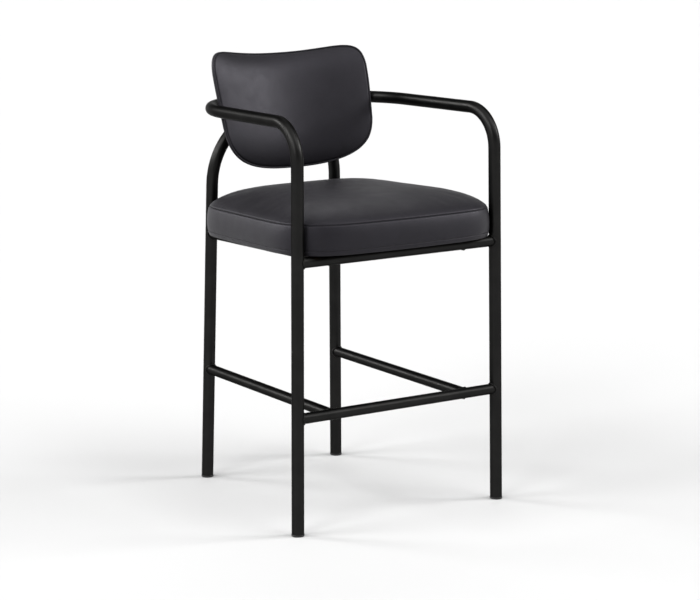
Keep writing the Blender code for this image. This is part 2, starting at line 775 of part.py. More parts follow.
def build_back(hoop_trim, arch_trim):
    frame = new_frame("back_frame", back_matrix(), root)
    shell_front = BACK_EDGE - SHELL_THICKNESS
    cover_front = BACK_EDGE + GAP
    cover_rear = cover_front + REAR_COVER_THICKNESS
    strap_front = cover_rear + GAP
    strap_rear = strap_front + STRAP_THICKNESS

    cushion = add_part("back_cushion", back_cushion_cage(), vinyl, frame)
    subdivide(cushion)
    pocket_depth = SHELL_THICKNESS + GAP + OVERRUN
    pocket = back_slab("back_pocket", SHELL_INSET - GAP, shell_front - GAP, pocket_depth)
    cut(cushion, add_cutter("back_pocket", pocket, frame))
    shell_mesh = back_slab("back_shell", SHELL_INSET, shell_front, SHELL_THICKNESS)
    shell = add_part("back_shell", shell_mesh, plywood, frame)
    cover_mesh = back_slab("back_rear_cover", REAR_COVER_INSET, cover_front, REAR_COVER_THICKNESS)
    cover = add_part("back_rear_cover", cover_mesh, vinyl, frame)

    for word, side in SIDES.items():
        holder = new_frame("bracket_frame_" + word, bracket_matrix(side), frame)
        placed = back_matrix() @ bracket_matrix(side)
        hoop = crossing(hoop_path(0), placed)
        arch = crossing(arch_path(0), placed)
        rear_face = BACK_RADIUS + strap_rear
        rib_low, rib_high = arch.z - RIB_REACH, hoop.z + RIB_REACH
        screws = {"lower": rib_low - STRAP_SCREW_STEP, "upper": rib_high + STRAP_SCREW_STEP}

        strap_mesh = box(
            "back_strap_" + word,
            (-STRAP_WIDTH / 2, BACK_RADIUS + strap_front, screws["lower"] - STRAP_END),
            (STRAP_WIDTH / 2, rear_face, screws["upper"] + STRAP_END),
        )
        strap = add_part("back_strap_" + word, strap_mesh, steel, holder)

        rib_front = rear_face + GAP
        rib_outline = [Vector((rib_front, rib_low, 0)), Vector((arch.y, arch.z, 0))]
        rib_outline += [Vector((hoop.y, hoop.z, 0)), Vector((rib_front, rib_high, 0))]
        upright = Matrix.Rotation(math.pi / 2, 4, "Z") @ Matrix.Rotation(math.pi / 2, 4, "X")
        rib_mesh = plate("back_rib_" + word, rib_outline, RIB_THICKNESS)
        rib = add_part("back_rib_" + word, rib_mesh, steel, holder, upright)
        cut(rib, hoop_trim)
        cut(rib, arch_trim)

        for spot, height in screws.items():
            tag = spot + "_" + word
            facing = Matrix.Rotation(math.pi / 2, 4, "X")
            name = "back_screw_hole_" + tag
            through = hole(name, SCREW_HOLE_RADIUS, -OVERRUN, OVERRUN, SCREW_SIDES)
            at_strap = Matrix.Translation((0, rear_face, height)) @ facing
            shank_cutter = add_cutter(name, through, holder, at_strap)
            cut(strap, shank_cutter)
            cut(cover, shank_cutter)
            name = "back_insert_hole_" + tag
            wide = hole(name, INSERT_RADIUS + GAP, -OVERRUN, OVERRUN, SCREW_SIDES)
            at_shell = Matrix.Translation((0, BACK_RADIUS + BACK_EDGE, height)) @ facing
            cut(shell, add_cutter(name, wide, holder, at_shell))
            head_seat = rear_face + GAP
            at_head = Matrix.Translation((0, head_seat, height)) @ facing
            shank = head_seat - BACK_RADIUS - BACK_EDGE + BACK_INSERT_LENGTH
            add_screw("back_screw_" + tag, shank, holder, at_head)
            add_insert("back_insert_" + tag, BACK_INSERT_LENGTH, holder, at_shell)


def centre_over_origin():
    """Slide the whole stool until its built length is centred over the origin."""
    graph = bpy.context.evaluated_depsgraph_get()
    depths = []
    for thing in parts.objects:
        if thing.type == "MESH":
            solid = thing.evaluated_get(graph)
            depths += [(solid.matrix_world @ vert.co).y for vert in solid.data.vertices]
    root.location.y = -(min(depths) + max(depths)) / 2


clear_scene()
parts = new_collection("upholstered_bar_stool")
cutters = new_collection("cutters")
steel = new_material("black_powder_coat", (0.022, 0.022, 0.02), 0.38, 0.3)
vinyl = new_material("black_vinyl", (0.03, 0.029, 0.032), 0.5)
plastic = new_material("black_nylon", (0.015, 0.015, 0.015), 0.55)
plywood = new_material("birch_plywood", (0.5, 0.36, 0.22), 0.7)
cambric = new_material("black_cambric", (0.02, 0.02, 0.02), 0.9)
zinc = new_material("black_zinc", (0.05, 0.05, 0.05), 0.4, 1.0)
brass = new_material("brass", (0.7, 0.5, 0.2), 0.35, 1.0)

root = new_frame("stool_frame", Matrix.Identity(4), None)
hoop_trim, arch_trim, side_rails = build_frame()
build_glides()
build_seat(side_rails)
build_back(hoop_trim, arch_trim)
centre_over_origin()
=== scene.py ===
from math import asin, atan2, cos, degrees, exp, hypot, pi, radians, sin, sqrt, tan

import bmesh
import bpy
import numpy as np
from mathutils import Matrix, Vector
from mathutils.bvhtree import BVHTree
from numpy.linalg import norm


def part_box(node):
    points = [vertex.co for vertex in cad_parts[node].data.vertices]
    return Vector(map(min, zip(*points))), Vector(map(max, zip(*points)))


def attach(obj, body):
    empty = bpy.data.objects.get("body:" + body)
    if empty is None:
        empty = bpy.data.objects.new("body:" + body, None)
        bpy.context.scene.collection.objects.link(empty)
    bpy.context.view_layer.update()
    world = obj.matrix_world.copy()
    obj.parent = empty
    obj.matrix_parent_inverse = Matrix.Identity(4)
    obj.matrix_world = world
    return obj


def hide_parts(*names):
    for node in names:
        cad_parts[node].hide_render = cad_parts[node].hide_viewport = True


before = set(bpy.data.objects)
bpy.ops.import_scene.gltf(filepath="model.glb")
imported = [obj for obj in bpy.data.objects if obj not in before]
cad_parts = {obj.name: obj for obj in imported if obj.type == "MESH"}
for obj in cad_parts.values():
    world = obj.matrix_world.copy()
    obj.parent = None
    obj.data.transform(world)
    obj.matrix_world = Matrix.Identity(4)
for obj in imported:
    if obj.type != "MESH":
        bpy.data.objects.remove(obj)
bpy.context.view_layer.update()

# The stool's frame, in metres, with the values of its CAD source
LEG_RADIUS = 0.0127
RAIL_RADIUS = 0.0111
FRONT_SPLAY_DEG = 0.62
FRONT_RAKE_DEG = 0.71
REAR_SPLAY_DEG = 1.08
REAR_RAKE_DEG = 1.2
REAR_FOOT_HALF = 0.1689
SEAT_RAIL_HEIGHT = 0.5531
SEAT_PITCH_DEG = 1.533
SEAT_RAIL_TOE_OUT = 0.0057
FOOT_RAIL_HEIGHT = 0.239
STRETCHER_RISE = 0.0034
STRETCHER_TOE_OUT = 0.0014
ARM_RISE = 0.2729
ARM_DROP = 0.0074
ARM_BEND_RADIUS = 0.0787
HOOP_BESIDE_BACK = 0.0308
HOOP_BEND_RADIUS = 0.188
ARCH_TOUCH_DEG = 47.0
ARCH_FLAT = 0.002
GAP = 0.0003
GLIDE_HEIGHT = 0.004
GLIDE_RIM = 0.0006
FRONT_LEG_HALF = 0.243405

# Seat outline and layers
SEAT_FRONT_HALF = 0.2565
SEAT_REAR_HALF = 0.2225
SEAT_FRONT_EDGE = 0.053
SEAT_REAR_EDGE = 0.455
SEAT_FRONT_BOW = 0.020
SEAT_REAR_BOW = 0.0195
SEAT_SIDE_BOW = 0.003
SEAT_FRONT_CORNER = 0.1046
SEAT_REAR_CORNER = 0.109
SEAT_CORNER_STEPS = 4
SEAT_BLEND_SHARE = 0.36
SEAT_TO_REAR_LEG = 0.0067
SEAT_BASE = 0.0127
SEAT_SIDE_HEIGHT = 0.0608
SEAT_CROWN = 0.0385
SEAT_CROWN_POWER = 7.9
SEAT_SEAM_INSET = 0.0015
SEAT_SIDE_BULGE = 0.0012
SEAT_HEM_INSET = 0.0008
SEAT_BULGE_SHARES = (0.25, 0.76)
SEAT_CROWN_SHARES = (0.985, 0.95, 0.88, 0.74, 0.45)
BOARD_THICKNESS = 0.012
BOARD_INSET = 0.005
DUST_COVER_THICKNESS = 0.001
DUST_COVER_INSET = 0.014

# Back panel
BACK_TO_HOOP = 0.0409
BACK_BELOW_HOOP = 0.0058
BACK_LEAN_DEG = 18.2
BACK_RADIUS = 0.347
BACK_HALF_WIDTH = 0.202
BACK_UP = 0.1116
BACK_DOWN = 0.1364
BACK_SADDLE = 0.0148
BACK_SADDLE_POWER = 3.0
BACK_UP_POWER = 5.4
BACK_DOWN_POWER = 2.8
BACK_DOWN_FALL_POWER = 4.7
BACK_END_SHARE = 0.996
BACK_TAPER_PER_METRE = 0.45
BACK_TAPER_START = 0.03
BACK_TAPER_EASE = 0.02
BACK_EDGE = 0.0055
BACK_CROWN = 0.024
BACK_CROWN_POWER = 5.0
SHELL_THICKNESS = 0.006
SHELL_INSET = 0.0035
REAR_COVER_THICKNESS = 0.002
REAR_COVER_INSET = 0.0015
BRACKET_FROM_REAR_LEG = 0.0718
STRAP_THICKNESS = 0.004
STRAP_SCREW_STEP = 0.014
RIB_THICKNESS = 0.005
RIB_REACH = 0.01

# How finely the pieces are drawn
ARC_STEP_DEG = 3.0
TUBE_SIDES = 48
TUBE_RUN = 0.03
RAIL_STEPS = 24
CURVE_STEPS = 1200
BEAD_SIDES, THREAD_SIDES, STAPLE_SIDES = 10, 6, 8
SEAT_COLUMNS = 480
BACK_COLUMNS = 150
BACK_ROWS = 96

SIDES = {"left": -1, "right": 1}
MM = 0.001

# Radii of the weld beads
RAIL_BEAD, SIDE_RAIL_BEAD, LINE_BEAD, HOOP_BEAD = 0.0019, 0.0016, 0.0015, 0.0026

# The covers as cloth
CLOTH = {
    "quality": 5, "mass": 0.3, "tension_stiffness": 15, "compression_stiffness": 15,
    "shear_stiffness": 5, "bending_stiffness": 2, "use_pressure": True,
    "uniform_pressure_force": 4.0, "vertex_group_mass": "held",
}
CLOTH_FRAMES = 20
CLOTH_REACH = 0.006
SEAT_VOXEL, BACK_VOXEL = 0.006, 0.005
SEAT_SMOOTHING, BACK_SMOOTHING = 14, 200
# Shares of the two crowns that are there before the cloth moves, and of its moves that the seam takes
SEAT_FLATTER, BACK_FLATTER, SEAM_GIVE = 0.94, 0.88, 0.2
# How near to a hem, a seam or the back's rim the cover is held, and where the seat's top is loose
HEM_HOLD, SEAM_HOLD, RIM_HOLD, LOOSE_RADIUS = 0.013, 0.011, 0.0035, 0.17

# Relief of the seat's cover in millimetres: heights with their reach, then distances
SEAM_GROOVE, HEM_GROOVE, HEM_SWELL = (3.0, 1.25), (0.9, 0.9), (0.22, 2.6)
TOP_PUCKER, BOXING_PUCKER, HEM_PUCKER = (0.38, 7), (0.22, 8), (0.16, 6)
SEAM_LIP, HEM_STITCH_UP, HEM_SWELL_BELOW = 1.2, 10.0, 3.4
BOXING_FULLNESS = 3.2
FULLNESS_POWER = 0.8

# How far the boxing stays flat beside a front leg, in metres, and how strongly
BESIDE_LEG, BESIDE_LEG_GAIN = 0.018, 1.75

# Small turns of the covers
POCKET_EASE, HEM_TURN = 0.6 * MM, 1.6 * MM
BACK_SHOULDER, BACK_SHOULDER_WIDTH = 1.4 * MM, 0.7 * MM
RIM_FADE = 9

# Dust cover: how far its edge waves and over what length, in metres, then a staple in millimetres
SCALLOP, STAPLE_PITCH = 1.1 * MM, 0.0445
STAPLE_INSET, STAPLE_HALF, STAPLE_LEG, STAPLE_RADIUS = 5, 4.6, 0.6, 0.3

# Camera, in metres and radians, with its focal length in pixels of the photograph
CAMERA_PLACE = (-2.7203, -4.0929, 1.3732)
CAMERA_TURN = -0.5921
CAMERA_TILT = 0.1921
FOCAL_PIXELS = 2374.23
PHOTO_WIDTH = 700
SENSOR_WIDTH = 36.0

# Studio
FLOOR_RADIUS = 60.0
FLOOR_PALE = (0.45, 0.46)
FLOOR_UNSEEN = 0.3
WORLD_LEVEL = 0.12
HORIZON_DEG = (6, 13)
# Name, azimuth from the camera towards its right, elevation, strength and angle, in degrees
SUNS = (
    ("key_right", 98, 26, 2.0, 20),
    ("fill_right", 62, 50, 1.0, 34),
    ("front_left", -32, 34, 1.0, 22),
    ("side_left", -70, 36, 1.5, 26),
    ("rim_left", -108, 22, 1.6, 18),
    ("top", 0, 78, 0.9, 60),
    ("back_top", 180, 42, 0.3, 30),
)


# Paths

def slope(degrees):
    return tan(radians(degrees))


def round_corner(before, corner, after, reach, steps):
    """Points along the arc that rounds a corner, touching its sides at the reach."""
    to_before = (before - corner).normalized()
    to_after = (after - corner).normalized()
    inside = to_before.angle(to_after)
    radius = reach * tan(inside / 2)
    centre = corner + (to_before + to_after).normalized() * (radius / sin(inside / 2))
    arm = corner + to_before * reach - centre
    axis = to_after.cross(to_before)
    turn = pi - inside
    return [centre + Matrix.Rotation(turn * step / steps, 3, axis) @ arm for step in range(steps + 1)]


def corner_reach(before, corner, after, radius):
    inside = (before - corner).angle(after - corner)
    return radius / tan(inside / 2)


def rounded_path(corners, radii):
    points = [corners[0]]
    for before, corner, after, radius in zip(corners, corners[1:], corners[2:], radii):
        turn = pi - (before - corner).angle(after - corner)
        steps = max(1, round(degrees(turn) / ARC_STEP_DEG))
        reach = corner_reach(before, corner, after, radius)
        points += round_corner(before, corner, after, reach, steps)
    return points + [corners[-1]]


def neighbours(points):
    """Each point of a closed line between the ones before and after it."""
    return zip(points[-1:] + points[:-1], points, points[1:] + points[:1])


def offset_outline(outline, distance):
    """The closed, anticlockwise outline moved outwards by the distance, or inwards if negative."""
    moved = []
    for before, point, after in neighbours(outline):
        along = (after - before).normalized()
        moved.append(point + Vector((along.y, -along.x, 0)) * distance)
    return moved


glide_low, glide_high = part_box("glide_front_left")
GLIDE_DEPTH, GLIDE_MIDDLE = ((glide_low[axis] + glide_high[axis]) / 2 for axis in (1, 2))
FRONT_FOOT_DEPTH = GLIDE_DEPTH - slope(FRONT_RAKE_DEG) * GLIDE_MIDDLE


def front_leg(side, height):
    half = FRONT_LEG_HALF + slope(FRONT_SPLAY_DEG) * (SEAT_RAIL_HEIGHT - height)
    return Vector((side * half, FRONT_FOOT_DEPTH + slope(FRONT_RAKE_DEG) * height, height))


SEAT_RAIL_LENGTH = SEAT_REAR_EDGE + SEAT_TO_REAR_LEG + LEG_RADIUS
SEAT_RAIL_REAR_HEIGHT = SEAT_RAIL_HEIGHT - slope(SEAT_PITCH_DEG) * SEAT_RAIL_LENGTH


def rear_leg(side, height):
    below_seat = SEAT_RAIL_REAR_HEIGHT - height
    depth = front_leg(1, SEAT_RAIL_HEIGHT).y + SEAT_RAIL_LENGTH + slope(REAR_RAKE_DEG) * below_seat
    return Vector((side * (REAR_FOOT_HALF - slope(REAR_SPLAY_DEG) * height), depth, height))


def leg_tube(leg, side, height):
    """A leg as a cylinder: a point at that height, the axis and the radius."""
    return leg(side, height), (leg(side, 1) - leg(side, 0)).normalized(), LEG_RADIUS


HOOP_HEIGHT = SEAT_RAIL_HEIGHT + ARM_RISE - ARM_DROP
BETWEEN_TUBES = 2 * LEG_RADIUS + GAP
TOUCH = radians(ARCH_TOUCH_DEG)
ARCH_TOP_HEIGHT = HOOP_HEIGHT - BETWEEN_TUBES * sin(TOUCH)
HOOP_DEPTH = rear_leg(1, ARCH_TOP_HEIGHT).y + BETWEEN_TUBES * cos(TOUCH)


def hoop_path():
    half_width = BACK_RADIUS * sin(BACK_HALF_WIDTH / BACK_RADIUS) + HOOP_BESIDE_BACK
    corners = []
    for side in (-1, 1):
        rear = Vector((side * half_width, HOOP_DEPTH, HOOP_HEIGHT))
        foot, bend = front_leg(side, GLIDE_HEIGHT + GAP), front_leg(side, SEAT_RAIL_HEIGHT + ARM_RISE)
        corners += [foot, bend, rear][::-side]
    return rounded_path(corners, [ARM_BEND_RADIUS, HOOP_BEND_RADIUS, HOOP_BEND_RADIUS, ARM_BEND_RADIUS])


def arch_path():
    top, foot = ARCH_TOP_HEIGHT, GLIDE_HEIGHT + GAP
    left, right = rear_leg(-1, top), rear_leg(1, top)
    inside = (rear_leg(-1, 0) - left).angle(right - left)
    radius = (right.x - ARCH_FLAT / 2) * tan(inside / 2)
    return rounded_path([rear_leg(-1, foot), left, right, rear_leg(1, foot)], [radius, radius])


def leaning(depth, height, degrees):
    return Matrix.Translation((0, depth, height)) @ Matrix.Rotation(-radians(degrees), 4, "X")


SEAT_PLACE = leaning(*front_leg(1, SEAT_RAIL_HEIGHT).yz, SEAT_PITCH_DEG)
BACK_DEPTH = HOOP_DEPTH - LEG_RADIUS - BACK_TO_HOOP
BACK_PLACE = leaning(BACK_DEPTH, HOOP_HEIGHT - BACK_BELOW_HOOP, BACK_LEAN_DEG)


# Materials

class Graph:
    """Nodes of a material or of the world."""

    def __init__(self, tree):
        self.nodes, self.links = tree.nodes, tree.links

    def node(self, kind, inputs=None, **settings):
        """Makes a node and gives its outputs."""
        made = self.nodes.new("ShaderNode" + kind)
        for name, value in settings.items():
            setattr(made, name, value)
        for key, value in (inputs or {}).items():
            if isinstance(value, bpy.types.NodeSocket):
                self.links.new(value, made.inputs[key])
            else:
                made.inputs[key].default_value = value
        return made.outputs

    def map(self, value, low, high, to_low, to_high):
        values = {"Value": value, "From Min": low, "From Max": high, "To Min": to_low, "To Max": to_high}
        return self.node("MapRange", values)["Result"]

    def math(self, operation, first, second):
        return self.node("Math", {0: first, 1: second}, operation=operation)[0]

    def plus(self, first, second, share):
        """The first value and a share of the second."""
        return self.math("ADD", first, self.math("MULTIPLY", second, share))

    def seen(self):
        """1 for the rays that show the background: camera, glossy and transmission rays."""
        ray = self.node("LightPath")
        mirrored = self.math("MAXIMUM", ray["Is Glossy Ray"], ray["Is Transmission Ray"])
        return self.math("MAXIMUM", ray["Is Camera Ray"], mirrored)


class Finish(Graph):
    """A Principled material with textures laid in the frame's own metres."""

    def __init__(self, name, **constants):
        self.material = bpy.data.materials.new(name)
        self.material.use_nodes = True
        super().__init__(self.material.node_tree)
        self.shader = self.nodes["Principled BSDF"]
        for word, value in constants.items():
            socket = word.replace("_", " ").title().replace("Ior", "IOR")
            self.shader.inputs[socket].default_value = value
        self.place = self.nodes.new("ShaderNodeTexCoord").outputs["Object"]

    def noise(self, scale, detail=2.0, distortion=0.0, place=None):
        values = {"Scale": scale, "Detail": detail, "Distortion": distortion}
        return self.node("TexNoise", {"Vector": place or self.place, **values})["Fac"]

    def cells(self, scale, feature, place=None):
        values = {"Vector": place or self.place, "Scale": scale}
        return self.node("TexVoronoi", values, feature=feature)["Distance"]

    def stretched(self, scale):
        return self.node("Mapping", {"Vector": self.place, "Scale": scale})["Vector"]

    def blend(self, factor, first, second):
        values = {"Factor": factor, 6: (*first, 1.0), 7: (*second, 1.0)}
        return self.node("Mix", values, data_type="RGBA")[2]

    def finish(self, colour, roughness, height=None, distance=0.0001, strength=0.5):
        self.links.new(colour, self.shader.inputs["Base Color"])
        self.links.new(roughness, self.shader.inputs["Roughness"])
        if height is not None:
            bump = self.node("Bump", {"Height": height, "Distance": distance, "Strength": strength})
            self.links.new(bump["Normal"], self.shader.inputs["Normal"])
        return self.material


def powder_coat():
    make = Finish("black_powder_coat", metallic=1.0, specular_tint=(0.45, 0.45, 0.45, 1.0))
    peel = make.noise(420, 1.5)
    speck = make.noise(2100, 1.0)
    height = make.plus(peel, speck, 0.35)
    shade = make.noise(26, 3.0)
    dark, light = (0.0180, 0.0178, 0.0174), (0.0216, 0.0213, 0.0208)
    colour = make.blend(make.map(shade, 0.35, 0.65, 0, 1), dark, light)
    rough = make.map(make.noise(60), 0.3, 0.7, 0.36, 0.42)
    return make.finish(colour, rough, height, 0.00003, 0.1)


def vinyl(name, dark, light, grain=1.0):
    make = Finish(name, specular_ior_level=0.25, specular_tint=(0.9, 0.86, 1.0, 1.0))
    wander = make.noise(300, 1.0)
    drift = make.node("TexNoise", {"Vector": make.place, "Scale": 260.0})["Color"]
    shift = make.node("VectorMath", {0: drift, 3: 0.0011}, operation="SCALE")[0]
    warped = make.node("VectorMath", {0: make.place, 1: shift}, operation="ADD")[0]
    crease = make.map(make.cells(640, "DISTANCE_TO_EDGE", warped), 0.0, 0.16, 0.0, 1.0)
    pebble = make.cells(640, "F1", warped)
    fine = make.noise(2600)
    height = make.plus(crease, make.math("ADD", fine, wander), 0.35)
    height = make.plus(height, pebble, -0.4)
    broad = make.noise(16, 3.0, 0.4)
    # Painted shade: the colour is darker along the grain's creases, where its cells meet; the broad
    # patches are the vinyl's own tone.
    patch, line = make.map(broad, 0.3, 0.7, 0.35, 1.0), make.map(crease, 0, 1, 0.72, 1.0)
    colour = make.blend(make.math("MULTIPLY", patch, line), dark, light)
    wear = make.map(make.noise(45), 0.3, 0.7, 0.42, 0.47)
    rough = make.plus(wear, fine, 0.04)
    return make.finish(colour, rough, height, 0.00012 * grain, 0.4)


def plywood():
    make = Finish("birch_plywood", specular_ior_level=0.3)
    grain = make.noise(1.0, 6.0, 0.6, make.stretched((18.0, 420.0, 60.0)))
    values = {"Vector": make.place, "Scale": 105.0, "Distortion": 0.6, "Detail": 1.0}
    plies = make.node("TexWave", values, bands_direction="Z")["Fac"]
    streak = make.plus(make.math("MULTIPLY", grain, 0.75), plies, 0.25)
    colour = make.blend(make.map(streak, 0.25, 0.75, 0, 1), (0.36, 0.22, 0.11), (0.62, 0.45, 0.28))
    return make.finish(colour, make.map(grain, 0.2, 0.8, 0.6, 0.8), grain, 0.0002, 0.5)


def nylon():
    make = Finish("black_nylon", specular_ior_level=0.45)
    haze = make.noise(900)
    colour = make.blend(make.noise(120), (0.008, 0.008, 0.008), (0.016, 0.016, 0.016))
    return make.finish(colour, make.map(haze, 0.3, 0.7, 0.42, 0.58), haze, 0.00005, 0.4)


def cambric():
    make = Finish("black_cambric", specular_ior_level=0.25, sheen_weight=0.15)
    fibre = make.noise(1.0, 4.0, 1.2, make.stretched((900.0, 2600.0, 900.0)))
    dimple = make.map(make.cells(520, "F1"), 0.0, 0.6, 0.0, 1.0)
    height = make.plus(fibre, dimple, 0.8)
    # Partly the cloth's own fibre tone and partly painted shade: the colour follows the bump's height,
    # darker down in the dimples.
    colour = make.blend(height, (0.010, 0.010, 0.011), (0.028, 0.028, 0.030))
    return make.finish(colour, make.map(fibre, 0.2, 0.8, 0.8, 0.95), height, 0.0002, 0.6)


def metal(name, dark, light, low, high, scale):
    make = Finish(name, metallic=1.0)
    brushed = make.noise(1.0, 4.0, 0.0, make.stretched((scale, scale, scale * 6)))
    stain = make.noise(240, 3.0)
    rough = make.map(brushed, 0.3, 0.7, low, high)
    return make.finish(make.blend(stain, dark, light), rough, brushed, 0.00003, 0.4)


def thread():
    make = Finish("black_thread", specular_ior_level=0.35)
    values = {"Vector": make.place, "Scale": 1300.0, "Distortion": 1.5}
    twist = make.node("TexWave", values, bands_direction="DIAGONAL")["Fac"]
    # Painted shade: the colour follows the twist's bump, darker in the grooves between the strands.
    colour = make.blend(twist, (0.004, 0.004, 0.004), (0.012, 0.012, 0.013))
    return make.finish(colour, make.map(twist, 0, 1, 0.6, 0.8), twist, 0.0001, 0.8)


COAT = powder_coat()
VINYL = vinyl("black_vinyl", (0.0085, 0.0080, 0.0095), (0.0140, 0.0132, 0.0157))
REAR_VINYL = vinyl("black_vinyl_rear", (0.0080, 0.0075, 0.0090), (0.0132, 0.0124, 0.0148), 1.2)
PLYWOOD = plywood()
NYLON = nylon()
CAMBRIC = cambric()
ZINC = metal("black_zinc", (0.03, 0.03, 0.032), (0.07, 0.07, 0.075), 0.28, 0.42, 500)
BRASS = metal("brass", (0.55, 0.38, 0.14), (0.75, 0.55, 0.24), 0.25, 0.4, 500)
STAPLE = metal("staple_steel", (0.45, 0.45, 0.46), (0.65, 0.65, 0.66), 0.25, 0.4, 700)
THREAD = thread()


# Meshes

def linked(name, data):
    """A new object in the scene."""
    made = bpy.data.objects.new(name, data)
    bpy.context.scene.collection.objects.link(made)
    return made


def mesh_object(name, bm):
    mesh = bpy.data.meshes.new(name)
    bm.to_mesh(mesh)
    bm.free()
    return linked(name, mesh)


def add_piece(name, bm, material, replaces=(), matrix=None, sharp=40.0):
    if matrix is not None:
        bmesh.ops.transform(bm, matrix=matrix, verts=bm.verts)
    bmesh.ops.recalc_face_normals(bm, faces=bm.faces)
    piece = mesh_object(name, bm)
    piece.data.materials.append(material)
    piece.data.shade_smooth()
    piece.data.set_sharp_from_angle(angle=radians(sharp))
    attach(piece, "root")
    if replaces:
        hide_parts(*replaces)
    return piece


def bridge(bm, rings, closed=True):
    """Quads between rings of as many points; closed runs each ring round."""
    count = len(rings[0])
    for low, high in zip(rings, rings[1:]):
        for k in range(count if closed else count - 1):
            after = (k + 1) % count
            bm.faces.new((low[k], low[after], high[after], high[k]))


def verts(bm, points):
    return [bm.verts.new(point) for point in points]


def cap_ends(bm, rings):
    bm.faces.new(rings[0][::-1])
    bm.faces.new(rings[-1])


def fan(bm, ring, point):
    """Triangles from a ring to a point."""
    tip = bm.verts.new(point)
    for k in range(len(ring)):
        bm.faces.new((ring[k], ring[(k + 1) % len(ring)], tip))


def level_ring(bm, radius, height, hexagon=False):
    """A ring round the Z axis: a circle, or a hexagon with that inner radius."""
    points = []
    for k in range(TUBE_SIDES):
        turn = 2 * pi * k / TUBE_SIDES
        off = (turn + pi / 6) % (pi / 3) - pi / 6
        reach = radius / cos(off) if hexagon else radius
        points.append((reach * cos(turn), reach * sin(turn), height))
    return verts(bm, points)


def ring_points(centre, tangent, normal, radius, sides):
    across = tangent.cross(normal)
    turns = [2 * pi * k / sides for k in range(sides)]
    return [centre + (normal * cos(turn) + across * sin(turn)) * radius for turn in turns]


def sweep(bm, points, radii, sides, closed=False):
    """A round tube along the points, with one radius for each point."""
    count = len(points)
    rings = []
    normal = None
    for k, point in enumerate(points):
        before = points[k - 1] if closed or k else point
        after = points[(k + 1) % count] if closed or k < count - 1 else point
        tangent = (after - before).normalized()
        if normal is None:
            normal = tangent.orthogonal()
        normal = (normal - tangent * normal.dot(tangent)).normalized()
        rings.append(verts(bm, ring_points(point, tangent, normal, radii[k], sides)))
    if closed:
        start = min(range(sides), key=lambda k: (rings[-1][0].co - rings[0][k].co).length)
        rings.append(rings[0][start:] + rings[0][:start])
    bridge(bm, rings)
    if not closed:
        cap_ends(bm, rings)


def bent_tube(path):
    """A bent tube whose straight runs are cut into even lengths."""
    points = [path[0]]
    for start, end in zip(path, path[1:]):
        steps = max(1, round((end - start).length / TUBE_RUN))
        points += [start.lerp(end, step / steps) for step in range(1, steps + 1)]
    bm = bmesh.new()
    sweep(bm, points, [LEG_RADIUS] * len(points), TUBE_SIDES)
    return bm


def to_cylinder(origin, direction, cylinder):
    """How far along the direction the line first meets the cylinder, given as point, axis, radius."""
    point, axis, radius = cylinder
    start = origin - point
    start -= axis * start.dot(axis)
    step = direction - axis * direction.dot(axis)
    a, b, c = step.dot(step), start.dot(step), start.dot(start) - radius**2
    return (-b - sqrt(max(b * b - a * c, 0))) / a


def coped_rail(cylinders):
    """A rail between two tubes, cut to them; gives its mesh, and each end with its rim and tube."""
    bm = bmesh.new()
    start, end = cylinders[0][0], cylinders[1][0]
    middle = (start + end) / 2
    along = (end - start).normalized()
    rim = ring_points(Vector(), along, along.orthogonal().normalized(), RAIL_RADIUS, TUBE_SIDES)
    ends, tips = [], []
    for direction, cylinder in zip((-along, along), cylinders):
        reach = [to_cylinder(middle + spoke, direction, cylinder) for spoke in rim]
        ends.append([middle + spoke + direction * far for spoke, far in zip(rim, reach)])
        tips.append(middle + direction * to_cylinder(middle, direction, cylinder))
    rings = []
    for step in range(RAIL_STEPS + 1):
        rings.append(verts(bm, [a.lerp(b, step / RAIL_STEPS) for a, b in zip(*ends)]))
    bridge(bm, rings)
    fan(bm, rings[0], tips[0])
    fan(bm, rings[-1], tips[1])
    return bm, [(end, rim, cylinder) for end, cylinder in zip(ends, cylinders)]


def weld_bead(bm, end, rim, cylinder):
    """A rippled bead round a coped end."""
    point, axis, radius = cylinder
    size = SIDE_RAIL_BEAD if radius == RAIL_RADIUS else RAIL_BEAD
    steps, lift, waviness, wave = 3, 0.22, 0.09, 5
    path = []
    for k in range(len(end)):
        for step in range(steps):
            share = step / steps
            after = (k + 1) % len(end)
            place = end[k].lerp(end[after], share)
            out = rim[k].lerp(rim[after], share).normalized()
            away = place - point
            away = (away - axis * away.dot(axis)).normalized()
            path.append(place + (out + away) * size * lift)
    radii = [size * (1 + waviness * sin(k * 2 * pi / wave)) for k in range(len(path))]
    sweep(bm, path, radii, BEAD_SIDES, closed=True)


def line_bead(bm, points, size=LINE_BEAD):
    """A short rippled bead along the points, tapered at both ends."""
    spacing, thin, waviness = 0.0006, 0.35, 0.1
    length = sum((b - a).length for a, b in zip(points, points[1:]))
    count = max(8, round(length / spacing))
    path = [sample(points, length * k / count) for k in range(count + 1)]
    radii = []
    for k in range(count + 1):
        taper = min(1.0, min(k, count - k) / 5)
        radii.append(size * (thin + (1 - thin) * sqrt(taper)) * (1 + waviness * sin(k * 1.6)))
    sweep(bm, path, radii, BEAD_SIDES)


def sample(points, distance):
    for start, end in zip(points, points[1:]):
        step = (end - start).length
        if distance <= step:
            return start.lerp(end, distance / step)
        distance -= step
    return points[-1].copy()


# Tube frame

